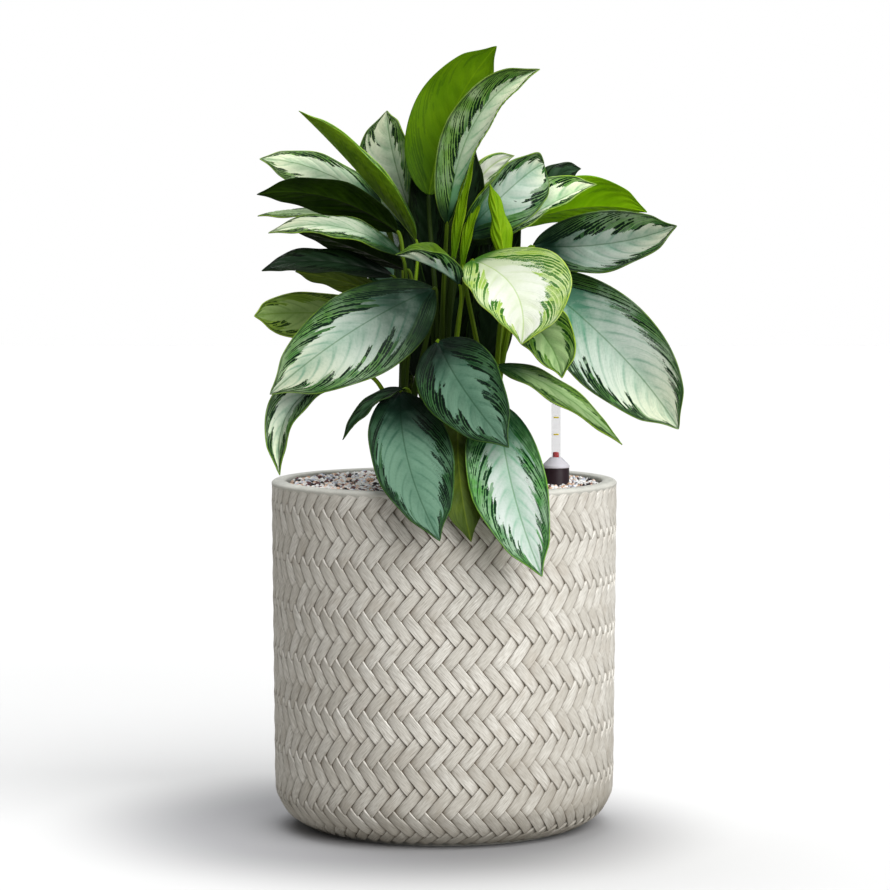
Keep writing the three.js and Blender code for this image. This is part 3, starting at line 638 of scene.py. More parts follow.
def at(tree, x, y, z):
    """A vector of three numbers, for a texture to be read at."""
    return new_node(tree, "ShaderNodeCombineXYZ", x, y, z).outputs[0]


def place(tree):
    return new_node(tree, "ShaderNodeTexCoord").outputs["Object"]


def noise(tree, name, *numbers):
    """The noise of that name in the table, at three numbers or else at the place on the object."""
    scale, detail, *factors = NOISES[name]
    spot = [number * factor for number, factor in zip(numbers, factors)]
    node = new_node(tree, "ShaderNodeTexNoise", at(tree, *spot) if spot else place(tree))
    node.inputs["Scale"].default_value = scale
    node.inputs["Detail"].default_value = detail
    return Term(tree, node.outputs[0])


def draws(tree, vector):
    """Three random numbers for each value of the vector."""
    node = new_node(tree, "ShaderNodeTexWhiteNoise", vector)
    node.noise_dimensions = "3D"
    parts = new_node(tree, "ShaderNodeSeparateColor", node.outputs["Color"])
    return [Term(tree, parts.outputs[k]) for k in range(3)]


def blend(tree, share, a, b):
    """Colour a where share is 0 and b where it is 1; colours of three numbers are 0 to 255."""
    node = new_node(tree, "ShaderNodeMix", share)
    node.data_type = "RGBA"
    for socket, colour in zip(node.inputs[6:8], (a, b)):
        plain = isinstance(colour, tuple) and len(colour) == 3
        feed(tree, socket, linear(colour) if plain else colour)
    return node.outputs[2]


def ramp(tree, value, stops, stepped=False):
    node = new_node(tree, "ShaderNodeValToRGB", value)
    node.color_ramp.interpolation = "CONSTANT" if stepped else "LINEAR"
    while len(node.color_ramp.elements) < len(stops):
        node.color_ramp.elements.new(1.0)
    for element, (position, colour) in zip(node.color_ramp.elements, stops):
        element.position = position
        element.color = linear(colour)
    return node.outputs[0]


def dress(tree, shader, colour, relief, depth, roughness=None):
    """Gives the shader its colour, its roughness and a relief of a depth in millimetres."""
    feed(tree, shader.inputs["Base Color"], colour)
    if roughness is not None:
        feed(tree, shader.inputs["Roughness"], roughness)
    node = new_node(tree, "ShaderNodeBump")
    node.inputs["Distance"].default_value = depth * MM
    feed(tree, node.inputs["Height"], relief)
    feed(tree, shader.inputs["Normal"], node.outputs[0])


# Leaf material
def leaf_place(tree):
    """The marks and noises that a leaf's material reads."""
    names = ("lane", "half", "down", "run", "seed", "band", "from_rib", "from_rim", "base", "phase")
    here = SimpleNamespace(**{name: marked(tree, name) for name in names})
    here.share = here.half.size()
    here.cloud = noise(tree, "leaf_cloud")
    here.speck = noise(tree, "leaf_speck")
    here.ribs = noise(tree, "leaf_ribs", here.lane, here.share, here.seed)
    here.fine = noise(tree, "leaf_fine", here.lane, here.share, here.seed)
    here.rib = here.from_rib.faded("rib")
    return here


def band_edge(tree, here, side, start, ragged):
    """The share of the half-width at which the margin band starts."""
    broad = noise(tree, "broad", here.lane, side, PATTERN["broad_seed"])
    edge = (broad - 0.5) * PATTERN["broad"] + (start - 0.5) * PATTERN["start"]
    edge = edge + ragged * PATTERN["ragged"] + here.band
    return edge - here.down.faded("band_at_base") - here.down.faded("band_at_tip")


def margin_band(tree, here, fill):
    """The margin band in lanes along the veins: dark streaks, zone, reach into it and light lines."""
    side = (here.half > 0.0) * PATTERN["side_seed"] + here.seed
    wander = noise(tree, "wander", here.lane, here.share, side)
    path = here.lane + (wander - 0.5) * PATTERN["wander"]
    number = path.whole()
    start, pick, gap = draws(tree, at(tree, number, side, PATTERN["lane_seed"]))
    ragged = noise(tree, "ragged", here.lane, here.run, side) - 0.5
    inside = here.share - band_edge(tree, here, side, start, ragged)
    zone, reach = inside.faded("zone"), inside.faded("reach")
    middle = (path - number - 0.5).size()
    thick = reach * -PATTERN["thinning"] + ragged * PATTERN["frayed"] + PATTERN["thick"]
    along = noise(tree, "breaks", number, here.run, gap)
    breaks = (along - reach * PATTERN["gaps"]).faded("breaks")
    dark = (thick - middle).faded("streak") * breaks * (pick < fill) * zone
    spots = noise(tree, "spots", here.lane, here.run, side).faded("spots")
    spots = spots * inside.faded("spot_zone") * (here.down > PATTERN["spot_from"])
    least, more = PATTERN["line"]
    lines = middle.faded("lines") * zone * (gap * more + least)
    return dark.math("MAXIMUM", spots), zone, reach, lines


def leaf_centre(tree, here, look):
    """The pale centre, tinted near the midrib and at the base, and tinted in the folds between the veins
    as painted shade.
    """
    tint = here.share.faded("tint_rib").math("MAXIMUM", here.down.faded("tint_base"))
    tint = tint * here.cloud.faded("tint_cloud")
    tint = tint + here.ribs.faded("tint_ribs") + here.speck.faded("tint_speck")
    # Painted shade in the valleys between the veins, where the blade folds
    turns = here.lane * (math.pi * VEIN["pitch"] / FOLD["pitch"]) + here.phase * math.pi
    fold = turns.math("SINE").size().faded("fold")
    tint = tint + fold * here.share.faded("fold_side") * here.ribs.faded("fold_ribs")
    centre = blend(tree, here.down.faded("tip"), look["centre"], look.get("tip", look["centre"]))
    return blend(tree, tint, centre, look["tint"])


def leaf_upper(tree, here, look, band):
    dark, zone, reach, lines = band
    green = blend(tree, here.ribs.faded("green"), look["streak"], look["light"])
    green = blend(tree, reach * PATTERN["rim_green"], green, look["rim"])
    upper = blend(tree, zone * here.cloud.faded("band_cloud"), leaf_centre(tree, here, look), green)
    upper = blend(tree, lines, upper, look["light"])
    upper = blend(tree, dark * here.cloud.faded("dark_cloud"), upper, look["dark"])
    hem = here.from_rim.faded("hem_inner") * here.from_rim.faded("hem_outer")
    hem = hem * here.ribs.faded("hem_ribs") * PATTERN["hem"]
    upper = blend(tree, hem, upper, look["dark"])
    upper = blend(tree, here.rib * PATTERN["rib"], upper, look["streak"])
    upper = blend(tree, here.from_rim.faded("rim") * here.ribs.faded("rim_ribs"), upper, look["rim"])
    # Painted shade at the base of the blade, reaching further on leaves with a larger deep
    painted_base_shade = here.base.faded("painted_base_shade") * here.cloud.faded("painted_base_shade_cloud")
    return blend(tree, painted_base_shade, upper, look["dark"])


def leaf_lower(tree, here, look, dark):
    lower = blend(tree, here.cloud.faded("under_cloud"), look["under"], look["rim"])
    streaks = dark * PATTERN["under_streak"] + here.down.faded("under_base")
    lower = blend(tree, streaks, lower, look["dark"])
    veins = here.rib * PATTERN["under_rib"] + here.ribs.faded("under_ribs")
    return blend(tree, veins, lower, look["rim"])


def leaf_material(name, look):
    material, tree, shader = new_material("leaf_" + name, roughness=0.45, specular=0.08)
    here = leaf_place(tree)
    band = margin_band(tree, here, look["fill"])
    upper, lower = leaf_upper(tree, here, look, band), leaf_lower(tree, here, look, band[0])
    # Tone is painted light and shade: one brightness per leaf, which may differ between its halves
    toned = new_node(tree, "ShaderNodeHueSaturation")
    feed(tree, toned.inputs["Value"], marked(tree, "tone"))
    feed(tree, toned.inputs["Color"], blend(tree, marked(tree, "under"), upper, lower))
    dress(tree, shader, toned.outputs[0], here.fine, depth=0.3, roughness=here.fine.faded("leaf_gloss"))
    return material


# Planter
def planter_material():
    material, tree, shader = new_material("planter_weave", roughness=0.7)
    along, across, tone = (marked(tree, key) for key in ("along", "across", "tone"))
    fibre = noise(tree, "fibre", along, across, tone)
    cloud = noise(tree, "weave_cloud")
    flecks = noise(tree, "weave_flecks")
    colour = ramp(tree, fibre, WEAVE_COLOURS["ramp"])
    layers = dict(
        smooth=noise(tree, "strand", along, across, tone).faded("smooth"),
        old=tone * WEAVE_COLOURS["old_share"],
        stain=cloud.faded("stain"),
        fleck=flecks.faded("fleck") * fibre.faded("fleck_fibre"),
        # Painted shade in the grooves
        groove=marked(tree, "groove_shade").faded("groove"),
        # Painted highlight on the raised edges
        edge=marked(tree, "raised") * WEAVE_COLOURS["painted_highlight_share"],
        # Painted shade towards the foot, stronger on the right
        soil=marked(tree, "low") * cloud.faded("foot_shade_cloud"),
    )
    for layer, share in layers.items():
        colour = blend(tree, share, colour, WEAVE_COLOURS[layer])
    dress(tree, shader, colour, fibre, depth=0.3, roughness=fibre.faded("weave_gloss"))
    return material


def lip_material():
    material, tree, shader = new_material("planter_lip", roughness=0.75)
    base = ramp(tree, noise(tree, "lip_cloud"), LIP_COLOURS["ramp"])
    grit = noise(tree, "lip_grit")
    speckled = blend(tree, grit.faded("speckle"), base, LIP_COLOURS["speckle"])
    dress(tree, shader, speckled, grit, depth=0.2, roughness=grit.faded("lip_gloss"))
    return material


def outline(down, offset):
    """Radius and height of the outer wall at a distance down from the rim, moved out by offset."""
    down, offset = np.broadcast_arrays(np.asarray(down, float), offset)
    angle = POT["round_turn"] * (1 - np.clip(down / POT["round"], 0, 1))
    reach = POT["round"] + offset
    top_r = POT["radius"] - POT["round"] + reach * np.cos(angle)
    top_z = POT["height"] - POT["round"] + reach * np.sin(angle)
    wall_r = POT["radius"] - POT["taper"] * down / WALL_LENGTH + offset
    angle = (WALL_LENGTH - down) / POT["corner"]
    low_r = CORNER_RADIUS + (POT["corner"] + offset) * np.cos(angle)
    low_z = POT["corner"] + (POT["corner"] + offset) * np.sin(angle)
    at_top, at_foot = down < POT["round"], down > WALL_LENGTH
    r = np.where(at_top, top_r, np.where(at_foot, low_r, wall_r))
    z = np.where(at_top, top_z, np.where(at_foot, low_z, POT["height"] - down))
    return r, z


def ribbon_relief(u, v):
    """Depth of a ribbon below the outline, and how far its edges are raised, from -1 to 1."""
    raised = (1 - 2 * v) * np.cos(math.pi * u / WEAVE["cells"])
    end = np.minimum(u, WEAVE["cells"] - u)
    dive = RIBBON["dive"] * np.clip(1 - end / RIBBON["dive_reach"], 0, 1) ** RIBBON["dive_power"]
    depth = RIBBON["rest"] - RIBBON["twist"] * raised + RIBBON["crown"] * (2 * v - 1) ** 2 + dive
    at_border = (np.minimum(v, 1 - v) < TINY) | (end < TINY)
    return np.where(at_border, RIBBON["wall"], np.minimum(depth, RIBBON["wall"])), raised


def darkness(gap, terms):
    """Dark that dies away over a gap; each term has a strength and a reach."""
    return sum(strength * np.exp(-gap / reach) for strength, reach in terms)


def ribbon_marks(u, v, raised):
    """The marks that every ribbon shares: place across it, painted shade in its grooves and a painted
    highlight on its raised edges.
    """
    side = darkness(np.minimum(v, 1 - v), GROOVE_SHADE["side"])
    end = darkness(np.minimum(u, WEAVE["cells"] - u), GROOVE_SHADE["end"])
    groove_shade = np.minimum(np.clip(-raised, 0, 1) * side + end, 1)
    # raised: a painted highlight on the edges that lie over their neighbours
    return dict(across=v, groove_shade=groove_shade, raised=np.clip(raised, 0, 1) ** RIBBON["edge_power"])


def ribbon_points(a, b, depth):
    """Points of a ribbon at herringbone places a and b, and its painted shade towards the foot."""
    down = (a + b - WEAVE["cells"]) * CELL_STEP - WEAVE["lift"]
    lip_share = np.clip((UNDER_LIP["end"] - down) / UNDER_LIP["reach"], 0, 1)
    depth = lerp(depth, np.maximum(depth, UNDER_LIP["depth"]), lip_share)
    r, z = outline(np.clip(down, UNDER_LIP["top"], WALL_END), -depth)
    angle = (a - b) * CELL_STEP / POT["radius"] + FRONT
    # Painted shade, darker towards the foot and stronger on the right
    soil = np.clip((down - FOOT_SHADE["start"]) / FOOT_SHADE["reach"], 0, 1) ** FOOT_SHADE["power"]
    soil = soil * (FOOT_SHADE["even"] + FOOT_SHADE["to_right"] * np.cos(angle))
    return np.stack([r * np.cos(angle), r * np.sin(angle), z], axis=-1).reshape(-1, 3), soil


def weave_points():
    """Every ribbon of the herringbone as its own small grid: points, faces and marks."""
    random = np.random.default_rng(SEEDS["weave"])
    cells = WEAVE["cells"]
    u, v = np.meshgrid(RIBBON["along"], RIBBON["across"], indexing="ij")
    shapes = [np.array(grid_faces(*u.shape, turned_over=over)) for over in (False, True)]
    depth, raised = ribbon_relief(u, v)
    spread = RIBBON["overlap"] * (2 * v - 1) * np.maximum(raised, 0)
    shared = ribbon_marks(u, v, raised)
    points, faces, marks = [], [], {key: [] for key in ("along", "tone", "low", *shared)}
    for row in range(WEAVE["first_row"], WEAVE["last_row"] + 1, cells):
        slants_right = row % (2 * cells) == 0
        for k in range(WEAVE["pitches"]):
            i = k + math.ceil(row / 2)
            tone, turn, bulge = random.random(), random.normal(), random.uniform(*RIBBON["bulge"])
            w = v + spread * bulge + RIBBON["swerve"] * turn * (u / cells - 0.5)
            a, b = (i + u, row - i + w) if slants_right else (i + w, row - i + u)
            faces += (shapes[slants_right] + len(points) * u.size).tolist()
            ribbon, low = ribbon_points(a, b, depth)
            points.append(ribbon)
            own = dict(along=u + RIBBON["grain_shift"] * tone, tone=tone + 0 * u, low=low)
            for key, values in dict(shared, **own).items():
                marks[key].append(values.ravel())
    return np.concatenate(points), faces, {key: np.concatenate(parts) for key, parts in marks.items()}


def core_profile():
    """The plain body under the weave, from the underside up to the rim and down into the hollow."""
    down = np.linspace(CORE["top"], WALL_END, CORE["steps"])[::-1]
    r, z = outline(down, -CORE["inset"])
    wall = zip(r.tolist(), np.maximum(z, CORE["clear"]).tolist())
    lip = [tuple(float(v) for v in outline(below, -depth)) for below, depth in LIP]
    hollow = softened([*RIM, *CAVITY, (0, CAVITY[-1][1])], CORE["soft"])
    return [(0, 0), (CORNER_RADIUS + CORE["foot"], 0), *wall, *lip, *hollow]


def add_planter():
    points, faces, marks = weave_points()
    add_piece("planter_weave", points, faces, planter_material(), ["pot"], marks=marks)
    points, faces = turned_mesh(core_profile(), CORE["sides"])
    add_piece("planter_core", points, faces, lip_material())


# Granulate
def bed_height(x, y):
    """Smooth bumps from a few crossing waves."""
    waves = sum(np.sin(a * x + b * y + c) for a, b, c in BED_WAVES)
    return BED["bump"] * (waves / len(BED_WAVES))


def stone_material():
    material, tree, shader = new_material("granulate_stones", roughness=0.8)
    grit = noise(tree, "stone_grit")
    colour = ramp(tree, marked(tree, "tone"), STONE_COLOURS["ramp"], stepped=True)
    dusty = blend(tree, grit.faded("dust"), colour, STONE_COLOURS["dust"])
    # Painted shade on the low sides of each stone
    shaded = blend(tree, marked(tree, "low").faded("gap"), dusty, STONE_COLOURS["gap"])
    dress(tree, shader, shaded, grit, depth=0.3, roughness=grit.faded("stone_gloss"))
    return material


def bed_material():
    material, tree, shader = new_material("granulate_bed", roughness=0.9)
    grains = noise(tree, "bed_grains")
    # Dark as painted shade between the stones
    dress(tree, shader, ramp(tree, grains, BED_RAMP), grains, depth=1.0)
    return material


def kept_clear(x, y):
    """Whether a place on the bed is free of canes and gauge."""
    clear = np.hypot(x - GAUGE["x"], y - GAUGE["y"]) > GAUGE_ROOM
    for shoot in SHOOTS.values():
        clear &= np.hypot(x - shoot["foot"][0], y - shoot["foot"][1]) > CANE_ROOM
    return clear


def stone_places(random):
    """A loosened hexagonal field of places inside the rim."""
    pitch, shift = STONES["pitch"], STONES["shift"]
    count = int(2 * STONES["edge"] / pitch) + 2
    row, column = np.meshgrid(np.arange(-count, count), np.arange(-count, count), indexing="ij")
    x = (column + 0.5 * (row % 2)) * pitch
    y = row * pitch * math.sqrt(3) / 2
    x = x + random.uniform(-shift, shift, x.shape) * pitch
    y = y + random.uniform(-shift, shift, y.shape) * pitch
    inside = (np.hypot(x, y) < STONES["edge"] - STONES["margin"]) & kept_clear(x, y)
    return x[inside], y[inside]


def unit_stone(near=1.1):
    """An icosahedron's points and faces; near is more than its edge and less than its diagonals."""
    g = (1 + math.sqrt(5)) / 2
    corners = []
    for a in (-1, 1):
        for b in (-g, g):
            corners += [(a, b, 0), (0, a, b), (b, 0, a)]
    corners = unit(np.array(corners, float))
    faces = []
    for i, j, k in combinations(range(len(corners)), 3):
        trio = corners[[i, j, k]]
        spans = np.linalg.norm(trio - np.roll(trio, 1, axis=0), axis=1)
        if spans.max() < near:
            out = np.dot(np.cross(trio[1] - trio[0], trio[2] - trio[0]), trio[0]) > 0
            faces.append([i, j, k] if out else [i, k, j])
    return corners, np.array(faces)


def add_bed():
    radii = np.linspace(0, BED["rings"], BED["rings"] + 1) * STONES["edge"] / BED["rings"]
    points, faces = turned_mesh([(r, BED["top"]) for r in radii[::-1]], BED["sides"])
    points = np.array(points)
    points[:, 2] += bed_height(points[:, 0], points[:, 1])
    add_piece("granulate_bed", points, faces, bed_material(), ["granulate"])


def add_stones():
    random = np.random.default_rng(SEEDS["stones"])
    corners, stone_faces = unit_stone()
    x, y = stone_places(random)
    count = len(x)
    size = random.uniform(STONES["least"], STONES["most"], (count, 1, 1))
    size = size * random.uniform(*STONES["squash"], (count, 1, 3))
    shape = corners[None] * size * random.uniform(*STONES["dents"], (count, len(corners), 1))
    spin = np.linalg.qr(random.normal(size=(count, 3, 3)))[0]
    lie = STONES["top"] + bed_height(x, y) + random.uniform(*STONES["lie"], count)
    turned = np.einsum("nij,nkj->nki", spin, shape)
    points = turned + np.stack([x, y, lie], axis=-1)[:, None]
    flipped = np.linalg.det(spin) < 0
    faces = np.where(flipped[:, None, None], stone_faces[None, :, ::-1], stone_faces[None])
    faces = (faces + np.arange(count)[:, None, None] * len(corners)).reshape(-1, 3).tolist()
    # low: how far a point lies below the stone's middle, for its painted shade
    marks = dict(tone=np.repeat(random.random(count), len(corners)), low=-turned[..., 2].ravel())
    points = points.reshape(-1, 3)
    piece = add_piece("granulate_stones", points, faces, stone_material(), marks=marks)
    piece.data.polygons.foreach_set("use_smooth", np.zeros(len(piece.data.polygons), bool))


# Water level gauge
def plastic(part):
    """Moulded plastic: a fine mottle, and a worn tone where the noise is high."""
    _, colour, worn, roughness, alpha = GAUGE_LOOKS[part]
    material, tree, shader = new_material("gauge_" + part, roughness, specular=0.25, alpha=alpha)
    shade = blend(tree, noise(tree, "plastic_cloud").faded("worn"), colour, worn)
    dress(tree, shader, shade, noise(tree, "plastic_grit"), depth=0.05)
    return material


def add_gauge():
    for part, profile in GAUGE_PARTS.items():
        profile = softened(profile, GAUGE["soft"])
        points, faces = turned_mesh(profile, GAUGE["sides"], (GAUGE["x"], GAUGE["y"]))
        body = "float" if part == "float" else "planter"
        name, slot = "gauge_" + part, GAUGE_LOOKS[part][0]
        add_piece(name + "_fine", points, faces, plastic(part), [name], body)
    material = plastic("marks")
    for number, height in enumerate(GAUGE_MARKS["heights"]):
        add_gauge_mark(f"gauge_mark_{number + 1}", height, material)


def add_gauge_mark(name, height, material):
    """A short printed line that lies on the front of the tube."""
    tube_radius = GAUGE_PARTS["tube"][1][0]
    inner = tube_radius + GAUGE_MARKS["lift"]
    outer = inner + GAUGE_MARKS["thick"]
    bevel = GAUGE_MARKS["bevel"]
    spread = GAUGE_MARKS["reach"] / inner
    angles = np.linspace(-spread, spread, GAUGE_MARKS["steps"]) - math.pi / 2
    rows = [(inner, -1), (outer, -bevel), (outer, bevel), (inner, 1)]
    points = [
        (GAUGE["x"] + r * math.cos(a), GAUGE["y"] + r * math.sin(a), height + side * GAUGE_MARKS["half"])
        for r, side in rows for a in angles
    ]
    add_piece(name, points, grid_faces(len(rows), len(angles)), material)


# Blades
def halves(leaf, key, default=0.0):
    """A leaf's values for its right and its left half."""
    return np.broadcast_to(leaf.get(key, default), 2)


def blade_frame(leaf, t):
    """Midrib points and axes at shares t from base to tip."""
    base, belly, tip = (np.array(leaf[key], float) for key in ("base", "belly", "tip"))
    pull = 2 * belly - (base + tip) / 2
    t = np.asarray(t, float)[..., None]
    point = (1 - t) ** 2 * base + 2 * t * (1 - t) * pull + t**2 * tip
    along = unit((1 - t) * (pull - base) + t * (tip - pull))
    middle = unit(tip - base)
    spread = np.array(leaf["right"], float) - np.array(leaf["left"], float)
    across = unit(spread - spread @ middle * middle)
    face = np.cross(across, middle)
    side = unit(np.cross(along, face))
    up = unit(np.cross(side, along))
    return point, along, side, up, across, face


def blade_width(t):
    """Half-width along the blade, 1 at half length."""
    base, tip = BLADE["base_round"], BLADE["tip_round"]
    start, end, cut = BLADE["nip"]
    step = np.clip((t - start) / (end - start), 0, 1)
    nip = 1 - cut * step**2 * (3 - 2 * step)
    return nip * t**base * (1 - t) ** tip / 0.5 ** (base + tip)


def blade_surface(leaf, t, c):
    """Points of the blade's middle sheet, and the half-width in millimetres at each."""
    point, _, side, up, across, face = blade_frame(leaf, t)
    right, left = np.array(leaf["right"], float), np.array(leaf["left"], float)
    edge = np.where((c > 0)[..., None], right, left)
    out, rise = edge @ across, edge @ face
    reach = np.hypot(out, rise)
    least = lerp(BLADE["stem"], BLADE["point"], t) / reach
    scale = np.maximum(least, blade_width(t))
    share = np.abs(c)
    sag = np.where(c > 0, *halves(leaf, "sag")) * reach * share * (1 - share) * 2
    sideways = scale * (out * share + np.sign(out) * sag * rise / reach)
    upwards = scale * (rise * share - sag * np.abs(out) / reach)
    return point + side * sideways[..., None] + up * upwards[..., None], scale * reach


def surface_normals(points):
    return unit(np.cross(np.gradient(points, axis=1), np.gradient(points, axis=0)))


def length_of(leaf):
    return np.linalg.norm(np.array(leaf["tip"], float) - np.array(leaf["base"], float))


def vein_start(leaf, t, share):
    """Distance along the midrib, in millimetres, at which the vein through a point starts."""
    bend = 1 - np.sqrt(1 - VEIN["bend"] * share**2)
    return (t - VEIN["lean"] * share - VEIN["sweep"] * bend) * length_of(leaf)


def blade_relief(vein, t, share, sign, phases):
    """Height of the folds between the veins and of the waves along the margin."""
    fold = np.sin(math.pi * (vein / FOLD["pitch"] + phases[2])) ** 2
    side, end = np.sin(math.pi * share), np.sin(math.pi * t)
    pleat = FOLD["height"] * fold * side ** FOLD["side_power"] * end ** FOLD["end_power"]
    phase = np.where(sign > 0, phases[0], phases[1])
    wave = np.sin(TURN * (WAVE["count"] * t + phase)) * share ** WAVE["side_power"] * end
    return pleat + WAVE["height"] * wave


def half_tones(leaf, c):
    """Painted light and shade: the brightness of the blade, which may differ between its halves."""
    right, left = halves(leaf, "tone", 1.0)
    return lerp(left, right, np.clip(0.5 + c / BLADE["tone_blend"], 0, 1))


def blade_grid():
    """Shares from base to tip, denser near the ends, and from the left margin to the right one."""
    shares = np.array(BLADE["shares"], float)
    steps = np.linspace(0, 1, BLADE["rows"] + 1)
    rows = lerp(steps, (1 - np.cos(math.pi * steps)) / 2, BLADE["ease"])
    return np.meshgrid(rows, np.concatenate([-shares[:0:-1], shares]), indexing="ij")


def blade_marks(leaf, number, t, c, width, vein, phase):
    """The marks of both sheets, upper one first."""
    share = np.abs(c)
    marks = dict(
        lane=vein / VEIN["pitch"], half=c, down=t, run=length_of(leaf) * t / MM_PER_CM,
        # base is the place along the blade, stretched by deep, for the painted shade at the base
        base=t / leaf.get("deep", 1), from_rib=share * width, from_rim=(1 - share) * width,
        seed=0 * t + BLADE["seed_step"] * number, phase=0 * t + phase, tone=half_tones(leaf, c),
        band=LOOKS[leaf["look"]]["band"] - np.where(c > 0, *halves(leaf, "bands")),
    )
    marks = {key: np.tile(values.ravel(), 2) for key, values in marks.items()}
    marks["under"] = np.repeat([1.0, 0.0] if leaf.get("turned") else [0.0, 1.0], t.size)
    return marks


def add_leaf(name, leaf, number, materials):
    random = np.random.default_rng(SEEDS["leaves"] + number)
    t, c = blade_grid()
    points, width = blade_surface(leaf, t, c)
    normals = surface_normals(points)
    share = np.abs(c)
    vein = vein_start(leaf, t, share)
    phases = random.random(3)
    height = blade_relief(vein, t, share, np.sign(c), phases)
    keel = np.exp(-((share * width / RIB["width"]) ** 2)) * (1 - t)
    half = BLADE["thickness"] / 2
    upper = points + normals * (half + height - RIB["sink"] * keel)[..., None]
    lower = points + normals * (height - half - RIB["stand"] * keel)[..., None]
    points = np.concatenate([upper.reshape(-1, 3), lower.reshape(-1, 3)])
    faces = grid_faces(*t.shape) + grid_faces(*t.shape, start=t.size, turned_over=True)
    faces += rim_faces(*t.shape)
    marks = blade_marks(leaf, number, t, c, width, vein, phases[2])
    stands_for = ["leaf_" + name] if name in LEAVES else []
    add_piece("blade_" + name, points, faces, materials[leaf["look"]], stands_for, marks=marks)


def rim_faces(n, m):
    """Quads that join the two sheets of n rows and m columns round their edge."""
    loop = [(0, k) for k in range(m - 1)] + [(r, m - 1) for r in range(n - 1)]
    loop += [(n - 1, k) for k in range(m - 1, 0, -1)] + [(r, 0) for r in range(n - 1, 0, -1)]
    edge = [r * m + k for r, k in loop]
    return [[b, a, a + n * m, b + n * m] for a, b in zip(edge, edge[1:] + edge[:1])]


# Shoots
def shoot_material():
    material, tree, shader = new_material("shoot", roughness=0.5, specular=0.12)
    along, turn, woody, shade = (marked(tree, key) for key in ("along", "turn", "woody", "tone"))
    streaks = noise(tree, "shoot_streaks", along, turn, shade)
    fresh = ramp(tree, streaks, SHOOT_COLOURS["fresh"])
    # Painted shade: darker on the inner shoots and towards the cane
    deep = (shade - along * SHOOT_COLOURS["shade_fades_up"]).faded("deep")
    stem = blend(tree, deep, fresh, SHOOT_COLOURS["deep"])
    bark = ramp(tree, noise(tree, "bark"), SHOOT_COLOURS["bark"])
    colour = blend(tree, woody, stem, bark)
    dress(tree, shader, colour, streaks, depth=0.3, roughness=streaks.faded("shoot_gloss"))
    return material


def tube_rings(centres, along, flat, widths, depths, sides, groove=0.0):
    """Rings of points round a line, sunk by a groove on the side that flat points to."""
    angles = np.arange(sides) * TURN / sides
    across = unit(np.cross(along, flat))
    out = unit(np.cross(across, along))
    sink = 1 - groove * np.maximum(np.sin(angles), 0) ** PETIOLE["groove_power"]
    ring = across[:, None] * (widths[:, None] * np.cos(angles))[..., None]
    ring = ring + out[:, None] * (depths[:, None] * np.sin(angles) * sink)[..., None]
    return centres[:, None] + ring, np.broadcast_to(angles, ring.shape[:2])


def cane_ends(shoot):
    """Where a cane leaves the granulate, and its head."""
    return np.array([*shoot["foot"], CANE["soil"]], float), np.array(shoot["head"], float)


def petiole_line(shoot, leaf, order):
    """Points and directions of a petiole, from the cane to just under the blade."""
    _, along, _, up, _, _ = blade_frame(leaf, 0.0)
    start = lerp(*cane_ends(shoot), PETIOLE["first"] - PETIOLE["step"] * order)
    end = np.array(leaf["base"], float) - along * PETIOLE["gap"]
    reach = np.linalg.norm(end - start)
    rise = (end - start) * PETIOLE["lean"] / reach
    rise = unit(np.array([rise[0], rise[1], 1.0]))
    leave = start + rise * reach * PETIOLE["rise"]
    arrive = end - along * PETIOLE["bend"]
    t = np.linspace(0, 1, PETIOLE["rings"])[:, None]
    line = (1 - t) ** 3 * start + 3 * t * (1 - t) ** 2 * leave
    line = line + 3 * t**2 * (1 - t) * arrive + t**3 * end
    line[-1] += along * PETIOLE["overlap"]
    return line, unit(np.gradient(line, axis=0)), up, t[:, 0]


def petiole_rings(shoot, leaf, order):
    line, along, up, t = petiole_line(shoot, leaf, order)
    width = lerp(PETIOLE["foot"], PETIOLE["end"], np.sqrt(t))
    width[-1] *= PETIOLE["close"]
    depth = width * PETIOLE["depth"]
    return tube_rings(line, along, up, width, depth, PETIOLE["sides"], PETIOLE["groove"])


def cane_rings(shoot):
    soil, head = cane_ends(shoot)
    direction = unit(head - soil)
    steps = max(2, round(np.linalg.norm(head - soil) / CANE["node_step"]))
    centres = [np.array([*shoot["foot"], CANE["bottom"]], float)]
    radii = [CANE["foot"]]
    for k in range(steps + 1):
        centre = lerp(soil, head, k / steps)
        radius = lerp(CANE["foot"], CANE["head"], k / steps)
        for shift, change in SCAR if k < steps else SCAR[:2]:
            centres.append(centre + direction * shift)
            radii.append(radius + change)
    centres, radii = np.array(centres), np.array(radii)
    along = np.broadcast_to(direction, centres.shape)
    return tube_rings(centres, along, np.array([1.0, 0, 0]), radii, radii, CANE["sides"])


def add_shoot(name, shoot, material, random):
    """The cane and its petioles as one piece."""
    points, faces, marks = [], [], dict(along=[], turn=[], woody=[], tone=[])

    def add_tube(rings, angles, woody):
        n, m = angles.shape
        start = sum(len(p) for p in points)
        points.append(rings.reshape(-1, 3))
        faces.extend(grid_faces(n, m, start, closed=True))
        faces.append([start + k for k in range(m)][::-1])
        faces.append([start + (n - 1) * m + k for k in range(m)])
        along = np.repeat(np.linspace(0, 1, n), m)
        tone = random.uniform(*shoot["shade"])
        own = dict(along=along, turn=np.sin(angles).ravel(), woody=woody, tone=tone)
        for key, values in own.items():
            marks[key].append(np.broadcast_to(values, (n * m,)))

    add_tube(*cane_rings(shoot), 1.0)
    leaves = [leaf for leaf in (LEAVES | INNER_LEAVES).values() if leaf["shoot"] == name]
    for order, leaf in enumerate(leaves):
        add_tube(*petiole_rings(shoot, leaf, order), 0.0)
    marks = {key: np.concatenate(values) for key, values in marks.items()}
    points = np.concatenate(points)
    add_piece("stems_" + name, points, faces, material, ["shoot_" + name], marks=marks)


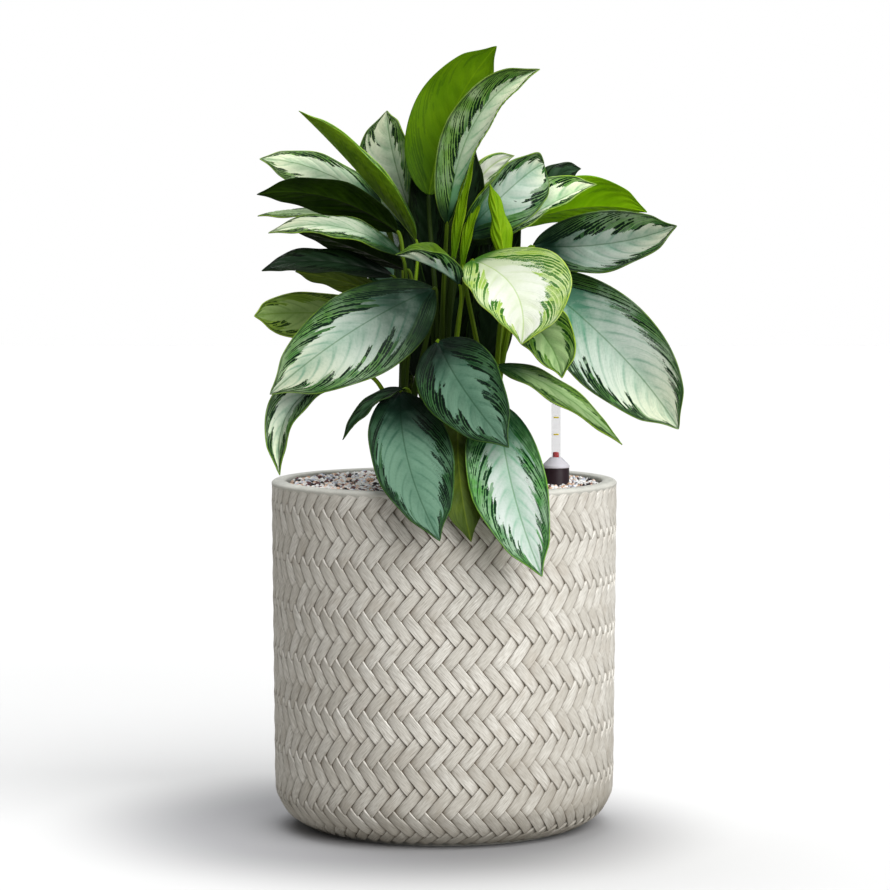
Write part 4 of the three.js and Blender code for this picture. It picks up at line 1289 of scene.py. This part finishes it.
def add_plant():
    materials = {name: leaf_material(name, look) for name, look in LOOKS.items()}
    for number, (name, leaf) in enumerate((LEAVES | INNER_LEAVES).items()):
        add_leaf(name, leaf, number, materials)
    material = shoot_material()
    random = np.random.default_rng(SEEDS["shoots"])
    for name, shoot in SHOOTS.items():
        add_shoot(name, shoot, material, random)


# Floor, light and camera
def seen_by_camera(tree):
    return Term(tree, new_node(tree, "ShaderNodeLightPath").outputs["Is Camera Ray"])


def floor_material():
    """Nearly white to the camera, a little darker near the pot as a painted shadow, and darker as a
    source of light.
    """
    material, tree, shader = new_material("floor", roughness=0.9, specular=0)
    pale = ramp(tree, noise(tree, "floor_cloud"), FLOOR["ramp"])
    # Painted shadow round the pot
    away = new_node(tree, "ShaderNodeVectorMath", place(tree), FLOOR["centre"])
    away.operation = "DISTANCE"
    near = Term(tree, away.outputs["Value"]).fade(*FLOOR["shade_fade"])
    pale = blend(tree, near, pale, FLOOR["shade"])
    colour = blend(tree, seen_by_camera(tree), FLOOR["thrown"], pale)
    feed(tree, shader.inputs["Base Color"], colour)
    return material


def add_floor():
    half = FLOOR["half"]
    corners = [(-half, -half, 0), (half, -half, 0), (half, half, 0), (-half, half, 0)]
    mesh = bpy.data.meshes.new("floor")
    mesh.from_pydata(corners, [], [(0, 1, 2, 3)])
    mesh.materials.append(floor_material())
    floor = new_object("floor", mesh)


def add_lights():
    for name, light in SUNS.items():
        data = bpy.data.lights.new(name, "SUN")
        data.angle = math.radians(light["spread"])
        data.energy = light["strength"]
        data.color = light["colour"]
        aim_at_origin(new_object(name, data), *light["place"])


def aim_at_origin(lamp, x, y, z):
    """Puts a lamp in its place and turns it to the origin."""
    lamp.location = (x, y, z)
    lamp.rotation_euler = (math.atan2(math.hypot(x, y), z), 0, math.atan2(x, -y))


def add_sky():
    """White to the camera, softer as light."""
    world = bpy.data.worlds.new("studio")
    bpy.context.scene.world = world
    world.use_nodes = True
    tree = world.node_tree
    background = tree.nodes["Background"]
    background.inputs["Color"].default_value = (1, 1, 1, 1)
    strength = seen_by_camera(tree).fade(0.0, 1.0, SKY["light"], SKY["seen"])
    feed(tree, background.inputs["Strength"], strength)


def add_camera():
    data = bpy.data.cameras.new("camera")
    data.lens = CAMERA["lens"]
    data.sensor_width = CAMERA["sensor"]
    data.clip_end = CAMERA["clip_end"]
    camera = new_object("camera", data)
    camera.location = CAMERA["place"]
    camera.rotation_euler = (math.radians(90 - CAMERA["pitch_down"]), 0, 0)
    bpy.context.scene.camera = camera


add_planter()
add_bed()
add_stones()
add_gauge()
add_plant()
add_floor()
add_lights()
add_sky()
add_camera()
bpy.context.scene.view_settings.view_transform = "Standard"
